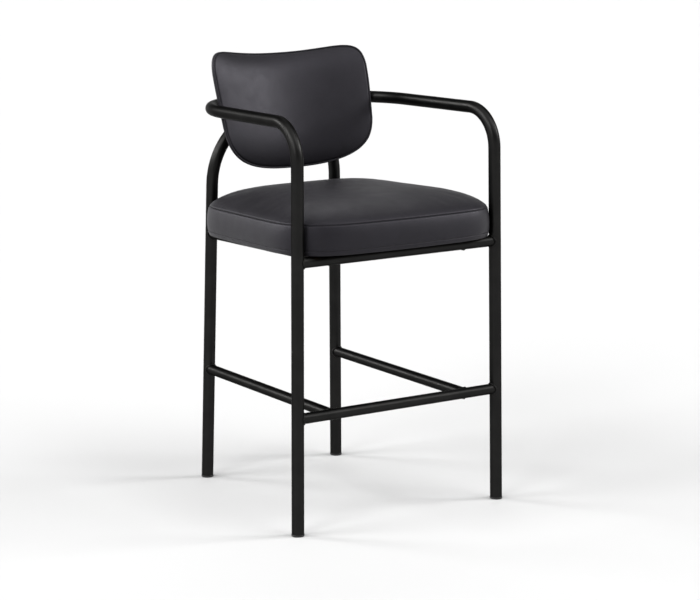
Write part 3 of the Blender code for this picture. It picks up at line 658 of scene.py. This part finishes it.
def build_frame():
    add_piece("leg_and_arm_hoop_tube", bent_tube(hoop_path()), COAT, ["front_legs_and_arm_hoop"])
    add_piece("rear_arch_tube", bent_tube(arch_path()), COAT, ["rear_leg_arch"])
    rails = []
    for name, height in (("front_seat_rail", SEAT_RAIL_HEIGHT), ("foot_rail", FOOT_RAIL_HEIGHT)):
        rails.append((name, [leg_tube(front_leg, side, height) for side in (-1, 1)]))
    rows = (
        ("seat_side_rail_", SEAT_RAIL_HEIGHT, SEAT_RAIL_REAR_HEIGHT, SEAT_RAIL_TOE_OUT),
        ("side_stretcher_", FOOT_RAIL_HEIGHT, FOOT_RAIL_HEIGHT + STRETCHER_RISE, STRETCHER_TOE_OUT),
    )
    for word, side in SIDES.items():
        for name, front_height, rear_height, toe_out in rows:
            rear = leg_tube(rear_leg, side, rear_height)
            across = rear[0].x + side * toe_out
            front = Vector((across, front_leg(side, front_height).y, front_height))
            rails.append((name + word, [(front, Vector((1, 0, 0)), RAIL_RADIUS), rear]))
    beads = bmesh.new()
    for name, cylinders in rails:
        bm, welds = coped_rail(cylinders)
        add_piece(name + "_tube", bm, COAT, [name])
        for weld in welds:
            weld_bead(beads, *weld)
    add_piece("rail_weld_beads", beads, COAT)


def build_glides():
    """A turned nylon glide under each tube, with a rounded rim and a small step above it."""
    rim = LEG_RADIUS + GLIDE_RIM
    edge = ((1.6, 0), (0.8, 0.25), (0.25, 0.8), (0, 1.6), (0, 3.0), (0.15, 3.6), (0.5, 3.95), (0.9, 4))
    for end, leg in (("front", front_leg), ("rear", rear_leg)):
        for word, side in SIDES.items():
            place = leg(side, GLIDE_HEIGHT)
            place.z = 0
            tag = "glide_" + end + "_" + word
            bm = bmesh.new()
            rings = [level_ring(bm, rim - inset * MM, height * MM) for inset, height in edge]
            bridge(bm, rings)
            fan(bm, rings[0], (0, 0, 0))
            fan(bm, rings[-1], (0, 0, GLIDE_HEIGHT))
            add_piece("foot_" + tag, bm, NYLON, [tag], Matrix.Translation(place))


# Curves through control points, as weights so that whole rings move at once

def spline_weights(parameters, count, closed):
    """Weights of a uniform cubic spline's control points; an open one ends on its end points."""
    weights = np.zeros((len(parameters), count))
    for row, parameter in enumerate(parameters):
        first = int(parameter)
        if not closed:
            first = min(first, count - 2)
        f = parameter - first
        parts = ((1 - f) ** 3, 3 * f**3 - 6 * f**2 + 4, -3 * f**3 + 3 * f**2 + 3 * f + 1, f**3)
        for step, part in enumerate(parts):
            index = first + step - 1
            if closed or 0 <= index < count:
                weights[row, index % count] += part / 6
            else:
                end, inner = (0, 1) if index < 0 else (count - 1, count - 2)
                weights[row, end] += part / 3
                weights[row, inner] -= part / 6
    return weights


def even_parameters(control, closed, places):
    """Parameters at which the curve has run the given shares of its length."""
    fine = np.linspace(0, len(control) if closed else len(control) - 1, CURVE_STEPS)
    curve = spline_weights(fine, len(control), closed) @ control
    run = np.concatenate([[0], np.cumsum(norm(np.diff(curve, axis=0), axis=1))])
    return np.interp(np.array(places) * run[-1], run, fine), run[-1]


def grid_normals(grid):
    """Unit outward normals of a grid whose rows rise and whose columns run round anticlockwise."""
    across = np.roll(grid, -1, axis=1) - np.roll(grid, 1, axis=1)
    normal = np.cross(across, np.gradient(grid, axis=0))
    return normal / np.maximum(norm(normal, axis=2, keepdims=True), 1e-12)


def ripple(values, seed, wavelength):
    """Smooth, seeded noise along a run of distances, from -1 to 1."""
    random = np.random.RandomState(seed)
    total = np.zeros_like(values)
    for k in range(9):
        stretch = wavelength * (0.6 + 0.9 * random.rand())
        total += np.sin(values * 2 * pi / stretch + random.rand() * 6.28) * (0.5 + random.rand())
    return total / 4.5


# Cloth

def cloth_moves(form, hold, voxel, grid, passes, wrap):
    """How far a grid's points move as its closed form is blown up as cloth, held where hold says 1."""
    source = mesh_object("swell_source", form)
    remesh = source.modifiers.new("remesh", "REMESH")
    remesh.mode = "VOXEL"
    remesh.voxel_size = voxel
    graph = bpy.context.evaluated_depsgraph_get()
    even = bpy.data.meshes.new_from_object(source.evaluated_get(graph))
    bpy.data.objects.remove(source)
    proxy = linked("swell_proxy", even)
    rest = np.array([vert.co for vert in even.vertices])
    polygons = [tuple(polygon.vertices) for polygon in even.polygons]
    held = proxy.vertex_groups.new(name="held")
    for index, point in enumerate(rest):
        held.add([index], hold(point), "REPLACE")
    cloth = proxy.modifiers.new("cloth", "CLOTH")
    for name, value in CLOTH.items():
        setattr(cloth.settings, name, value)
    cloth.settings.effector_weights.gravity = 0
    scene = bpy.context.scene
    for step in range(1, CLOTH_FRAMES + 1):
        scene.frame_set(step)
    graph = bpy.context.evaluated_depsgraph_get()
    moves = np.array([vert.co for vert in proxy.evaluated_get(graph).data.vertices]) - rest
    length = norm(moves, axis=1, keepdims=True)
    moves *= np.minimum(1, CLOTH_REACH / np.maximum(length, 1e-9))
    bpy.data.objects.remove(proxy)
    scene.frame_set(1)
    tree = BVHTree.FromPolygons([Vector(point) for point in rest], polygons)
    found = np.zeros(grid.shape)
    for spot in np.ndindex(grid.shape[:2]):
        index = tree.find_nearest(Vector(grid[spot]))[2]
        corners = list(polygons[index])
        away = norm(rest[corners] - grid[spot], axis=1) + 1e-5
        share = (1 / away) / (1 / away).sum()
        found[spot] = share @ moves[corners]
    return smoothed(found, passes, wrap)


def smoothed(grid, passes, wrap):
    """The grid after so many passes that each blend a point with its four neighbours."""
    for _ in range(passes):
        if wrap:
            sides = np.roll(grid, 1, axis=1) + np.roll(grid, -1, axis=1)
        else:
            padded = np.pad(grid, ((0, 0), (1, 1), (0, 0)), mode="edge")
            sides = padded[:, :-2] + padded[:, 2:]
        padded = np.pad(grid, ((1, 1), (0, 0), (0, 0)), mode="edge")
        grid = (grid * 2 + sides + padded[:-2] + padded[2:]) / 6
    return grid


# Seat

SEAM_HEIGHT = SEAT_BASE + SEAT_SIDE_HEIGHT
SEAT_MIDDLE = (SEAT_REAR_EDGE - SEAT_FRONT_EDGE) / 2


def seat_outline():
    right = [
        (0, -SEAT_FRONT_EDGE, None),
        (SEAT_FRONT_HALF, SEAT_FRONT_BOW - SEAT_FRONT_EDGE, SEAT_FRONT_CORNER),
        ((SEAT_FRONT_HALF + SEAT_REAR_HALF) / 2 + SEAT_SIDE_BOW, SEAT_MIDDLE, None),
        (SEAT_REAR_HALF, SEAT_REAR_EDGE - SEAT_REAR_BOW, SEAT_REAR_CORNER),
        (0, SEAT_REAR_EDGE, None),
    ]
    rows = right + [(-x, y, radius) for x, y, radius in right[-2:0:-1]]
    outline = []
    for places, row in zip(neighbours([Vector((x, y, 0)) for x, y, _ in rows]), rows):
        if row[2] is None:
            shorter = min((places[0] - places[1]).length, (places[2] - places[1]).length)
            outline += round_corner(*places, shorter * SEAT_BLEND_SHARE, 2)
        else:
            outline += round_corner(*places, corner_reach(*places, row[2]), SEAT_CORNER_STEPS)
    return outline


SEAT_OUTLINE = seat_outline()
SEAM_CONTROL = np.array(offset_outline(SEAT_OUTLINE, -SEAT_SEAM_INSET))
SEAT_SHARES = np.arange(SEAT_COLUMNS) / SEAT_COLUMNS
SEAT_PARAMETERS, SEAT_LENGTH = even_parameters(SEAM_CONTROL, True, SEAT_SHARES)
SEAT_WEIGHTS = spline_weights(SEAT_PARAMETERS, len(SEAT_OUTLINE), True)


def seat_ring(distance, height):
    """The seat's smooth outline, moved outwards by the distance, at a height of the seat's frame."""
    ring = SEAT_WEIGHTS @ np.array(offset_outline(SEAT_OUTLINE, distance))
    ring[:, 2] = height
    return ring


# Distances along the cover, in millimetres: up the boxing from the hem, and over the top from the seam
BOXING_ROWS = (0, 0.5, 1.2, 2.2, 4, 6.5, 8.4, 9.3, 10, 10.7, 11.6, 13.5, 17, 21, 26, 31, 36, 41, 46,
               50, 53.5, 56, 57.8, 59, 59.8, 60.4, 60.8)
TOP_ROWS = (0.4, 1.0, 1.8, 2.8, 4, 5.5, 7.5, 10, 13, 16.5, 20.5, 25, 30, 36, 43, 51, 60, 70, 81, 93,
            106, 120, 135, 151, 168, 186, 205)


def seat_cover_grids(crown):
    """The cover's boxing and top as rows of points, from the hem to near the middle of the top."""
    sides = [seat_ring(-SEAT_HEM_INSET, SEAT_BASE)]
    for share in SEAT_BULGE_SHARES:
        sides.append(seat_ring(SEAT_SIDE_BULGE, SEAT_BASE + SEAT_SIDE_HEIGHT * share))
    seam = seat_ring(-SEAT_SEAM_INSET, SEAM_HEIGHT)
    sides.append(seam)
    centre = np.array((0, SEAT_MIDDLE, SEAM_HEIGHT))
    tops = [seam]
    for share in (*SEAT_CROWN_SHARES, 0.0):
        ring = centre + (seam - centre) * share
        ring[:, 2] += crown * (1 - share**SEAT_CROWN_POWER)
        tops.append(ring)
    grids = []
    for rings, rows, length in ((sides, BOXING_ROWS, SEAT_SIDE_HEIGHT), (tops, (0.0, *TOP_ROWS), None)):
        rings = np.array(rings)
        reference = rings[:, SEAT_COLUMNS // 4]
        if length is None:
            _, length = even_parameters(reference, False, [0])
        shares = [min(row * MM / length, 1.0) for row in rows]
        parameters, _ = even_parameters(reference, False, shares)
        weights = spline_weights(parameters, len(rings), False)
        grids.append(np.einsum("rk,kcx->rcx", weights, rings))
    return grids[0], grids[1][1:]


def seat_shape(boxing, top):
    """The closed form through the rows, with the pocket that the board fills."""
    bm = bmesh.new()
    pocket = -BOARD_INSET + GAP
    places = (
        (pocket, SEAT_BASE + BOARD_THICKNESS + GAP), (pocket, SEAT_BASE + POCKET_EASE),
        (pocket + POCKET_EASE, SEAT_BASE), (-SEAT_HEM_INSET - HEM_TURN, SEAT_BASE),
    )
    rows = [seat_ring(*place) for place in places] + [*boxing, *top]
    rings = [verts(bm, row) for row in rows]
    bridge(bm, rings)
    bm.faces.new(rings[0][::-1])
    fan(bm, rings[-1], top[-1].mean(axis=0))
    return bm


def bump(distance, height, reach):
    return height * np.exp(-((distance / reach) ** 2))


def decay(distance, height, reach):
    return height * np.exp(-np.abs(distance) / reach)


def seat_relief(rows, run, seam_row):
    """How far each point of the seat's cover moves out, in millimetres: seams, puckers and fullness."""
    from_seam = (run - run[seam_row])[:, None] / MM
    from_stitch = run[:, None] / MM - HEM_STITCH_UP
    along = np.arange(SEAT_COLUMNS)[None, :] * SEAT_LENGTH / SEAT_COLUMNS / MM
    off_seam = 1 - decay(from_seam, 1, SEAM_LIP)
    above = ripple(along + 0.15 * from_seam, 3, 15.0) * (from_seam > 0) * off_seam
    below = ripple(along, 5, 19.0) * (from_seam < 0) * off_seam
    up_boxing = np.clip(run / run[seam_row], 0, 1)[:, None] ** FULLNESS_POWER
    fullness = BOXING_FULLNESS * np.sin(pi * up_boxing) ** FULLNESS_POWER * (from_seam <= 0)
    from_leg = np.hypot(np.abs(rows[..., 0]) - FRONT_LEG_HALF, rows[..., 1])
    height = fullness * (1 - np.minimum(1, bump(from_leg, BESIDE_LEG_GAIN, BESIDE_LEG)))
    height = height - bump(from_seam, *SEAM_GROOVE) - bump(from_stitch, *HEM_GROOVE)
    height = height + bump(from_stitch + HEM_SWELL_BELOW, *HEM_SWELL)
    height = height + above * decay(from_seam, *TOP_PUCKER) + below * decay(from_seam, *BOXING_PUCKER)
    return height + ripple(along, 8, 17.0) * bump(from_stitch, *HEM_PUCKER)


def build_seat_cushion():
    crown = SEAT_CROWN * SEAT_FLATTER
    boxing, top = seat_cover_grids(crown)
    rows = np.vstack([boxing, top])
    seam_row = len(boxing) - 1
    centre = rows[seam_row].mean(axis=0)

    def hold(point):
        """1 by the hem and by the seam, where the cover is sewn or stapled."""
        near_seam = abs(point[2] - SEAM_HEIGHT) < SEAM_HOLD
        outer = norm((point - centre)[:2]) > LOOSE_RADIUS
        return 1.0 if point[2] < SEAT_BASE + HEM_HOLD or (outer and near_seam) else 0.0

    form = seat_shape(boxing, top)
    moves = cloth_moves(form, hold, SEAT_VOXEL, rows, SEAT_SMOOTHING, True)
    moves[seam_row] *= SEAM_GIVE
    rows = rows + moves
    normals = grid_normals(rows)
    normals[seam_row] = normals[seam_row - 1] + normals[seam_row + 1]
    normals[seam_row] /= norm(normals[seam_row], axis=1, keepdims=True)
    steps = norm(np.diff(rows, axis=0), axis=2).mean(axis=1)
    run = np.concatenate([[0], np.cumsum(steps)])
    height = seat_relief(rows, run, seam_row)
    rows = rows + normals * height[..., None] * MM
    bm = seat_shape(rows[: seam_row + 1], rows[seam_row + 1:])
    add_piece("seat_cushion_cover", bm, VINYL, ["seat_cushion"], SEAT_PLACE, 70.0)
    stitch_row = int(np.argmin(np.abs(run / MM - HEM_STITCH_UP)))
    hem_normals = grid_normals(rows)[stitch_row]
    lines = (
        ("seat_top_stitches", seam_row, normals[seam_row], (0.35, 4.2, 2.9, 0.5)),
        ("seat_hem_stitches", stitch_row, hem_normals, (0.05, 4.6, 3.0, 0.42)),
    )
    for name, row, out, sizes in lines:
        bm = stitch_line(rows[row], out, *sizes)
        add_piece(name, bm, THREAD, (), SEAT_PLACE)


def stitch_line(points, normals, lift, pitch, length, radius):
    """Short arched threads along a closed line of points; the sizes are in millimetres."""
    lift, pitch, length, radius = (size * MM for size in (lift, pitch, length, radius))
    arch = ((0, -0.6), (0.12, 0.35), (0.3, 0.85), (0.5, 1.0), (0.7, 0.85), (0.88, 0.35), (1, -0.6))
    thickness = (0.7, 0.9, 1, 1, 1, 0.9, 0.7)
    bm = bmesh.new()
    points = [Vector(point) for point in points]
    normals = [Vector(normal) for normal in normals]
    steps = [(b - a).length for a, b in zip(points, points[1:] + points[:1])]
    run = np.concatenate([[0], np.cumsum(steps)])
    total = run[-1]
    count = round(total / pitch)

    def at(distance):
        distance %= total
        k = int(np.searchsorted(run, distance, side="right")) - 1
        share = (distance - run[k]) / steps[k]
        after = (k + 1) % len(points)
        return points[k].lerp(points[after], share), normals[k].lerp(normals[after], share).normalized()

    for number in range(count):
        start = number * total / count
        path = []
        for share, rise in arch:
            place, normal = at(start + length * share)
            path.append(place + normal * (lift + rise * radius))
        sweep(bm, path, [radius * part for part in thickness], THREAD_SIDES)
    return bm


# Back

def back_taper(height):
    """Share of the full width that the panel has at a height; it narrows downwards."""
    below = BACK_TAPER_START - height
    return 1 - BACK_TAPER_PER_METRE * (below + hypot(below, BACK_TAPER_EASE)) / 2


def back_point(across, up, inset, behind):
    """A point of the panel, across and up from -1 to 1, so far behind the front seam's surface."""
    share = across * BACK_END_SHARE
    rise = (1 - abs(share) ** BACK_UP_POWER) ** (1 / BACK_UP_POWER)
    fall = (1 - abs(share) ** BACK_DOWN_POWER) ** (1 / BACK_DOWN_FALL_POWER)
    top = (BACK_UP - inset) * rise + BACK_SADDLE * abs(share) ** BACK_SADDLE_POWER * rise
    bottom = -(BACK_DOWN - inset) * fall
    height = bottom + (top - bottom) * (up + 1) / 2
    angle = share * (BACK_HALF_WIDTH * back_taper(height) - inset) / BACK_RADIUS
    radius = BACK_RADIUS + behind
    return Vector((radius * sin(angle), radius * cos(angle) - BACK_RADIUS, height))


def eased(steps):
    """Places from -1 to 1 that crowd towards both ends."""
    return [sin(pi / 2 * (2 * k / steps - 1)) for k in range(steps + 1)]


ACROSS, UP = eased(BACK_COLUMNS), eased(BACK_ROWS)


def back_grid(inset, behind):
    """A grid of points of the panel; behind gives the distance for a place across and up."""
    return np.array([[back_point(x, z, inset, behind(x, z)) for x in ACROSS] for z in UP])


# The grid's rim, anticlockwise seen from the front, as rows and columns
RIM = [(0, k) for k in range(BACK_COLUMNS)] + [(k, BACK_COLUMNS) for k in range(BACK_ROWS)]
RIM += [(BACK_ROWS - row, BACK_COLUMNS - column) for row, column in RIM]


def rim_ring(inset, behind):
    return [back_point(ACROSS[column], UP[row], inset, behind) for row, column in RIM]


def panel_form(front, stations, rear):
    """A closed form: a front grid, rings round its rim, and a rear grid."""
    bm = bmesh.new()
    face, back = ([verts(bm, row) for row in grid] for grid in (front, rear))
    bridge(bm, face, False)
    bridge(bm, back[::-1], False)
    rings = [[face[row][column] for row, column in RIM]]
    rings += [verts(bm, rim_ring(inset * MM, behind * MM)) for inset, behind in stations]
    rings.append([back[row][column] for row, column in RIM])
    bridge(bm, rings)
    return bm


def build_back_cushion():
    crown = BACK_CROWN * BACK_FLATTER

    def bulge(across, up):
        """The front's rise: a quick shoulder beside the seam and the crown within it."""
        rise = 1.0
        swell_up = 1.0
        for share, half in ((abs(across), BACK_HALF_WIDTH), (abs(up), BACK_UP)):
            rise *= 1 - exp(-(1 - share) * half / BACK_SHOULDER_WIDTH)
            swell_up *= max(0, 1 - share**BACK_CROWN_POWER)
        return -BACK_SHOULDER * rise - (crown - BACK_SHOULDER) * swell_up

    edge = BACK_EDGE / MM
    front = back_grid(2.0 * MM, bulge)
    pocket = (SHELL_INSET - GAP) / MM
    floor = BACK_EDGE - SHELL_THICKNESS - GAP
    rear = back_grid(pocket * MM, lambda across, up: floor)
    # Stations round the rim, as inset and distance behind the front seam, in millimetres
    band = [(1.7, 0.15), (1.45, 0.5), (1.2, 0.8), (0.9, 0.85), (0.6, 0.5), (0.2, 0.1), (-0.4, -0.15),
            (-1.1, -0.05), (-1.75, 0.45), (-2.15, 1.3), (-2.3, 2.3), (-2.25, 3.3), (-1.9, 4.2),
            (-1.3, 4.9), (-0.5, 5.3), (0.3, 5.35), (1.2, edge), (pocket - 0.4, edge),
            (pocket, edge - 0.5)]
    def hold(point):
        """1 beside the front seam and behind it."""
        radius = hypot(point[0], point[1] + BACK_RADIUS)
        return 1.0 if radius > BACK_RADIUS - RIM_HOLD else 0.0

    form = panel_form(front, band, rear)
    moves = cloth_moves(form, hold, BACK_VOXEL, front, BACK_SMOOTHING, False)
    across = np.abs(np.array(ACROSS))[None, :, None]
    up = np.abs(np.array(UP))[:, None, None]
    fade = np.minimum(1, (1 - across**2) * RIM_FADE) * np.minimum(1, (1 - up**2) * RIM_FADE)
    front = front + moves * fade
    bm = panel_form(front, band, rear)
    add_piece("back_cushion_cover", bm, VINYL, ["back_cushion"], BACK_PLACE, 70.0)
    seams = (("back_front_stitches", 1.1, 0.5, -1), ("back_rear_stitches", 0.3, 5.4, 1))
    for name, inset, behind, facing in seams:
        points = rim_ring(inset * MM, behind * MM)
        out = [Vector((p.x, p.y + BACK_RADIUS, 0)).normalized() * facing for p in points]
        bm = stitch_line(points, out, 0.1, 4.4, 2.9, 0.34)
        add_piece(name, bm, THREAD, (), BACK_PLACE)


def build_rear_cover():
    """The vinyl over the panel's rear face, rounded in at its rim."""
    inset = REAR_COVER_INSET / MM
    start = (BACK_EDGE + GAP) / MM
    thick = REAR_COVER_THICKNESS / MM
    front = back_grid(REAR_COVER_INSET, lambda across, up: BACK_EDGE + GAP)
    rear = back_grid((inset + 1.2) * MM, lambda across, up: BACK_EDGE + GAP + REAR_COVER_THICKNESS)
    stations = [(inset - 0.35, start + 0.3), (inset - 0.5, start + 0.8), (inset - 0.35, start + 1.3),
                (inset, start + 1.7), (inset + 0.55, start + thick - 0.05)]
    bm = panel_form(front, stations, rear)
    add_piece("back_rear_panel", bm, REAR_VINYL, ["back_rear_cover"], BACK_PLACE, 70.0)


def crossing(path, matrix):
    """Where a tube's centre line first passes the bracket's middle plane, in the bracket's own frame."""
    local = [matrix.inverted() @ point for point in path]
    spans = [(a, b) for a, b in zip(local, local[1:]) if a.x * b.x <= 0 and min(a.y, b.y) > BACK_RADIUS]
    return min((a.lerp(b, a.x / (a.x - b.x)) for a, b in spans), key=lambda point: point.y)


def socket_screw():
    """A button head with a hex socket, facing down from the height 0, and its shank above."""
    head, depth = 5.75 * MM, 3.3 * MM
    profile = (
        (1.85 * MM, 1.9 * MM - depth, True), (2.0 * MM, 0.15 * MM - depth, True),
        (2.35 * MM, 0.02 * MM - depth), (head * 0.62, 0.12 * MM - depth), (head * 0.82, -depth * 0.78),
        (head * 0.95, -depth * 0.48), (head, -depth * 0.2), (head, 0), (3.0 * MM, 0), (3.0 * MM, 9.4 * MM),
    )
    bm = bmesh.new()
    rings = [level_ring(bm, *row) for row in profile]
    bridge(bm, rings)
    cap_ends(bm, rings)
    return bm


def build_brackets():
    spacing = rear_leg(1, ARCH_TOP_HEIGHT).x - BRACKET_FROM_REAR_LEG
    beads = bmesh.new()
    for word, side in SIDES.items():
        turn = Matrix.Rotation(-side * asin(spacing / BACK_RADIUS), 4, "Z")
        placed = BACK_PLACE @ (Matrix.Translation((0, -BACK_RADIUS, 0)) @ turn)
        hoop, arch = crossing(hoop_path(), placed), crossing(arch_path(), placed)
        rear_face = BACK_RADIUS + BACK_EDGE + 2 * GAP + REAR_COVER_THICKNESS + STRAP_THICKNESS
        low, high = arch.z - RIB_REACH, hoop.z + RIB_REACH
        screws = {"lower": low - STRAP_SCREW_STEP, "upper": high + STRAP_SCREW_STEP}
        facing = Matrix.Rotation(pi / 2, 4, "X")
        for spot, height in screws.items():
            tag = spot + "_" + word
            at_head = placed @ Matrix.Translation((0, rear_face + GAP, height)) @ facing
            node = "back_screw_" + tag
            add_piece("bracket_screw_" + tag, socket_screw(), ZINC, [node], at_head, 30.0)
        for x in (-RIB_THICKNESS / 2, RIB_THICKNESS / 2):
            line = [placed @ Vector((x, rear_face + 0.2 * MM, z)) for z in (low + 3 * MM, high - 3 * MM)]
            line_bead(beads, line)
            for middle in (hoop, arch):
                toward = Vector((0, rear_face - middle.y, (low + high) / 2 - middle.z)).normalized()
                start = atan2(toward.z, toward.y)
                arc = []
                for step in range(13):
                    turn = start + radians(-42 + 84 * step / 12)
                    spoke = Vector((0, cos(turn), sin(turn))) * (LEG_RADIUS + 0.2 * MM)
                    arc.append(placed @ (Vector((x, middle.y, middle.z)) + spoke))
                line_bead(beads, arc)
    add_piece("bracket_weld_beads", beads, COAT)


def build_hoop_weld():
    """Beads above and below where the arch touches the hoop."""
    hoop = Vector((0, HOOP_DEPTH, HOOP_HEIGHT))
    arch = Vector((0, rear_leg(1, ARCH_TOP_HEIGHT).y, ARCH_TOP_HEIGHT))
    between = (hoop - arch).normalized()
    up = Vector((1, 0, 0)).cross(between)
    bm = bmesh.new()
    for way in (-1, 1):
        middle = (hoop + arch) / 2 + up * way * 3.2 * MM
        line_bead(bm, [middle + Vector((x, 0, 0)) for x in (-0.022, 0.0, 0.022)], HOOP_BEAD)
    add_piece("hoop_and_arch_weld", bm, COAT)


# Underside

def build_dust_cover():
    """Non-woven cloth under the board, drawn in a little between its staples."""
    top = SEAT_BASE - GAP
    bottom = top - DUST_COVER_THICKNESS * 0.7
    along = np.arange(SEAT_COLUMNS) * SEAT_LENGTH / SEAT_COLUMNS
    scallop = SCALLOP * np.cos(along * 2 * pi / STAPLE_PITCH)
    bm = bmesh.new()
    centre = np.array((0, SEAT_MIDDLE, 0))
    outline = seat_ring(-DUST_COVER_INSET, 0)
    inward = centre - outline
    inward /= norm(inward, axis=1, keepdims=True)
    rings = []
    spans = ((top, (0.1, 0.6, 1.0)), (bottom, (1.0, 0.995, 0.97, 0.9, 0.6, 0.1)))
    for height, shares in spans:
        for share in shares:
            ring = centre + (outline + inward * scallop[:, None] - centre) * share
            ring[:, 2] = height
            rings.append(verts(bm, ring))
    bridge(bm, rings)
    cap_ends(bm, rings)
    name = "dust_cover_cloth"
    piece = add_piece(name, bm, CAMBRIC, ["seat_dust_cover"], SEAT_PLACE)
    staples = bmesh.new()
    ring = [Vector(point) for point in seat_ring(-DUST_COVER_INSET - STAPLE_INSET * MM, bottom)]
    steps = round(SEAT_LENGTH / STAPLE_PITCH)
    for k in range(steps):
        index = round(k * len(ring) / steps)
        middle = ring[index % len(ring)]
        after = (ring[(index + 1) % len(ring)] - ring[index - 1]).normalized()
        turned_to = Matrix.Rotation(radians(35 if k % 2 else -30), 3, "Z") @ after
        half = turned_to * STAPLE_HALF * MM
        leg = Vector((0, 0, STAPLE_LEG * MM))
        path = [middle - half + leg, middle - half, middle, middle + half, middle + half + leg]
        sweep(staples, path, [STAPLE_RADIUS * MM] * len(path), STAPLE_SIDES)
    add_piece("dust_cover_staples", staples, STAPLE, (), SEAT_PLACE)


# Kept CAD nodes

def dress_nodes():
    """A finish for each node that stays, by the first two words of its name; plates get eased edges."""
    finishes = {
        "seat_board": PLYWOOD, "back_shell": PLYWOOD, "back_strap": COAT, "back_rib": COAT,
        "seat_insert": BRASS, "back_insert": BRASS, "seat_screw": ZINC,
    }
    for name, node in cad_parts.items():
        finish = finishes.get("_".join(name.split("_")[:2]))
        if finish is None:
            continue
        for slot in node.material_slots:
            slot.material = finish
        if finish is COAT:
            bevel = node.modifiers.new("eased_edges", "BEVEL")
            bevel.width = 0.9 * MM
            bevel.segments = 3
            bevel.limit_method = "ANGLE"
            bevel.angle_limit = radians(50)


# Studio

def build_floor():
    """A pale floor, lighter for the rays that show it than for those that light the stool."""
    bm = bmesh.new()
    bmesh.ops.create_circle(bm, cap_ends=True, segments=96, radius=FLOOR_RADIUS)
    floor = mesh_object("studio_floor", bm)
    make = Finish("pale_floor", specular_ior_level=0.0)
    shade = make.noise(0.7)
    pale = make.math("MULTIPLY", make.seen(), make.map(shade, 0, 1, *FLOOR_PALE))
    colour = make.blend(pale, (FLOOR_UNSEEN,) * 3, (1.0, 1.0, 1.0))
    floor.data.materials.append(make.finish(colour, make.map(shade, 0, 1, 0.85, 0.95)))


def build_world():
    """A dim, even world; its horizon is white for the rays that show the background."""
    world = bpy.data.worlds.new("studio")
    bpy.context.scene.world = world
    world.use_nodes = True
    make = Graph(world.node_tree)
    place = make.node("TexCoord")["Generated"]
    height = make.node("SeparateXYZ", {"Vector": place})["Z"]
    edges = (sin(radians(edge)) for edge in HORIZON_DEG)
    band = make.math("MULTIPLY", make.seen(), make.map(height, *edges, 1.0, 0.0))
    level = make.plus(WORLD_LEVEL, band, 1 - WORLD_LEVEL)
    make.links.new(level, make.nodes["Background"].inputs["Color"])


def build_suns():
    """Soft lamps far off."""
    for name, azimuth, elevation, strength, angle in SUNS:
        turn, rise = radians(azimuth) + CAMERA_TURN, radians(elevation)
        across = cos(rise)
        direction = (sin(turn) * across, -cos(turn) * across, sin(rise))
        lamp = bpy.data.lights.new(name, "SUN")
        lamp.energy = strength
        lamp.angle = radians(angle)
        holder = linked(name, lamp)
        holder.rotation_mode = "QUATERNION"
        holder.rotation_quaternion = Vector(direction).to_track_quat("Z", "Y")


def build_camera():
    camera = bpy.data.cameras.new("photo_camera")
    camera.sensor_width = SENSOR_WIDTH
    camera.lens = FOCAL_PIXELS / PHOTO_WIDTH * SENSOR_WIDTH
    camera.clip_end = 200.0
    holder = linked("photo_camera", camera)
    holder.location = CAMERA_PLACE
    holder.rotation_euler = (pi / 2 - CAMERA_TILT, 0.0, CAMERA_TURN)
    bpy.context.scene.camera = holder


build_camera()
build_frame()
build_glides()
build_seat_cushion()
build_back_cushion()
build_rear_cover()
build_brackets()
build_hoop_weld()
build_dust_cover()
dress_nodes()
build_floor()
build_world()
build_suns()
bpy.context.scene.view_settings.view_transform = "Standard"
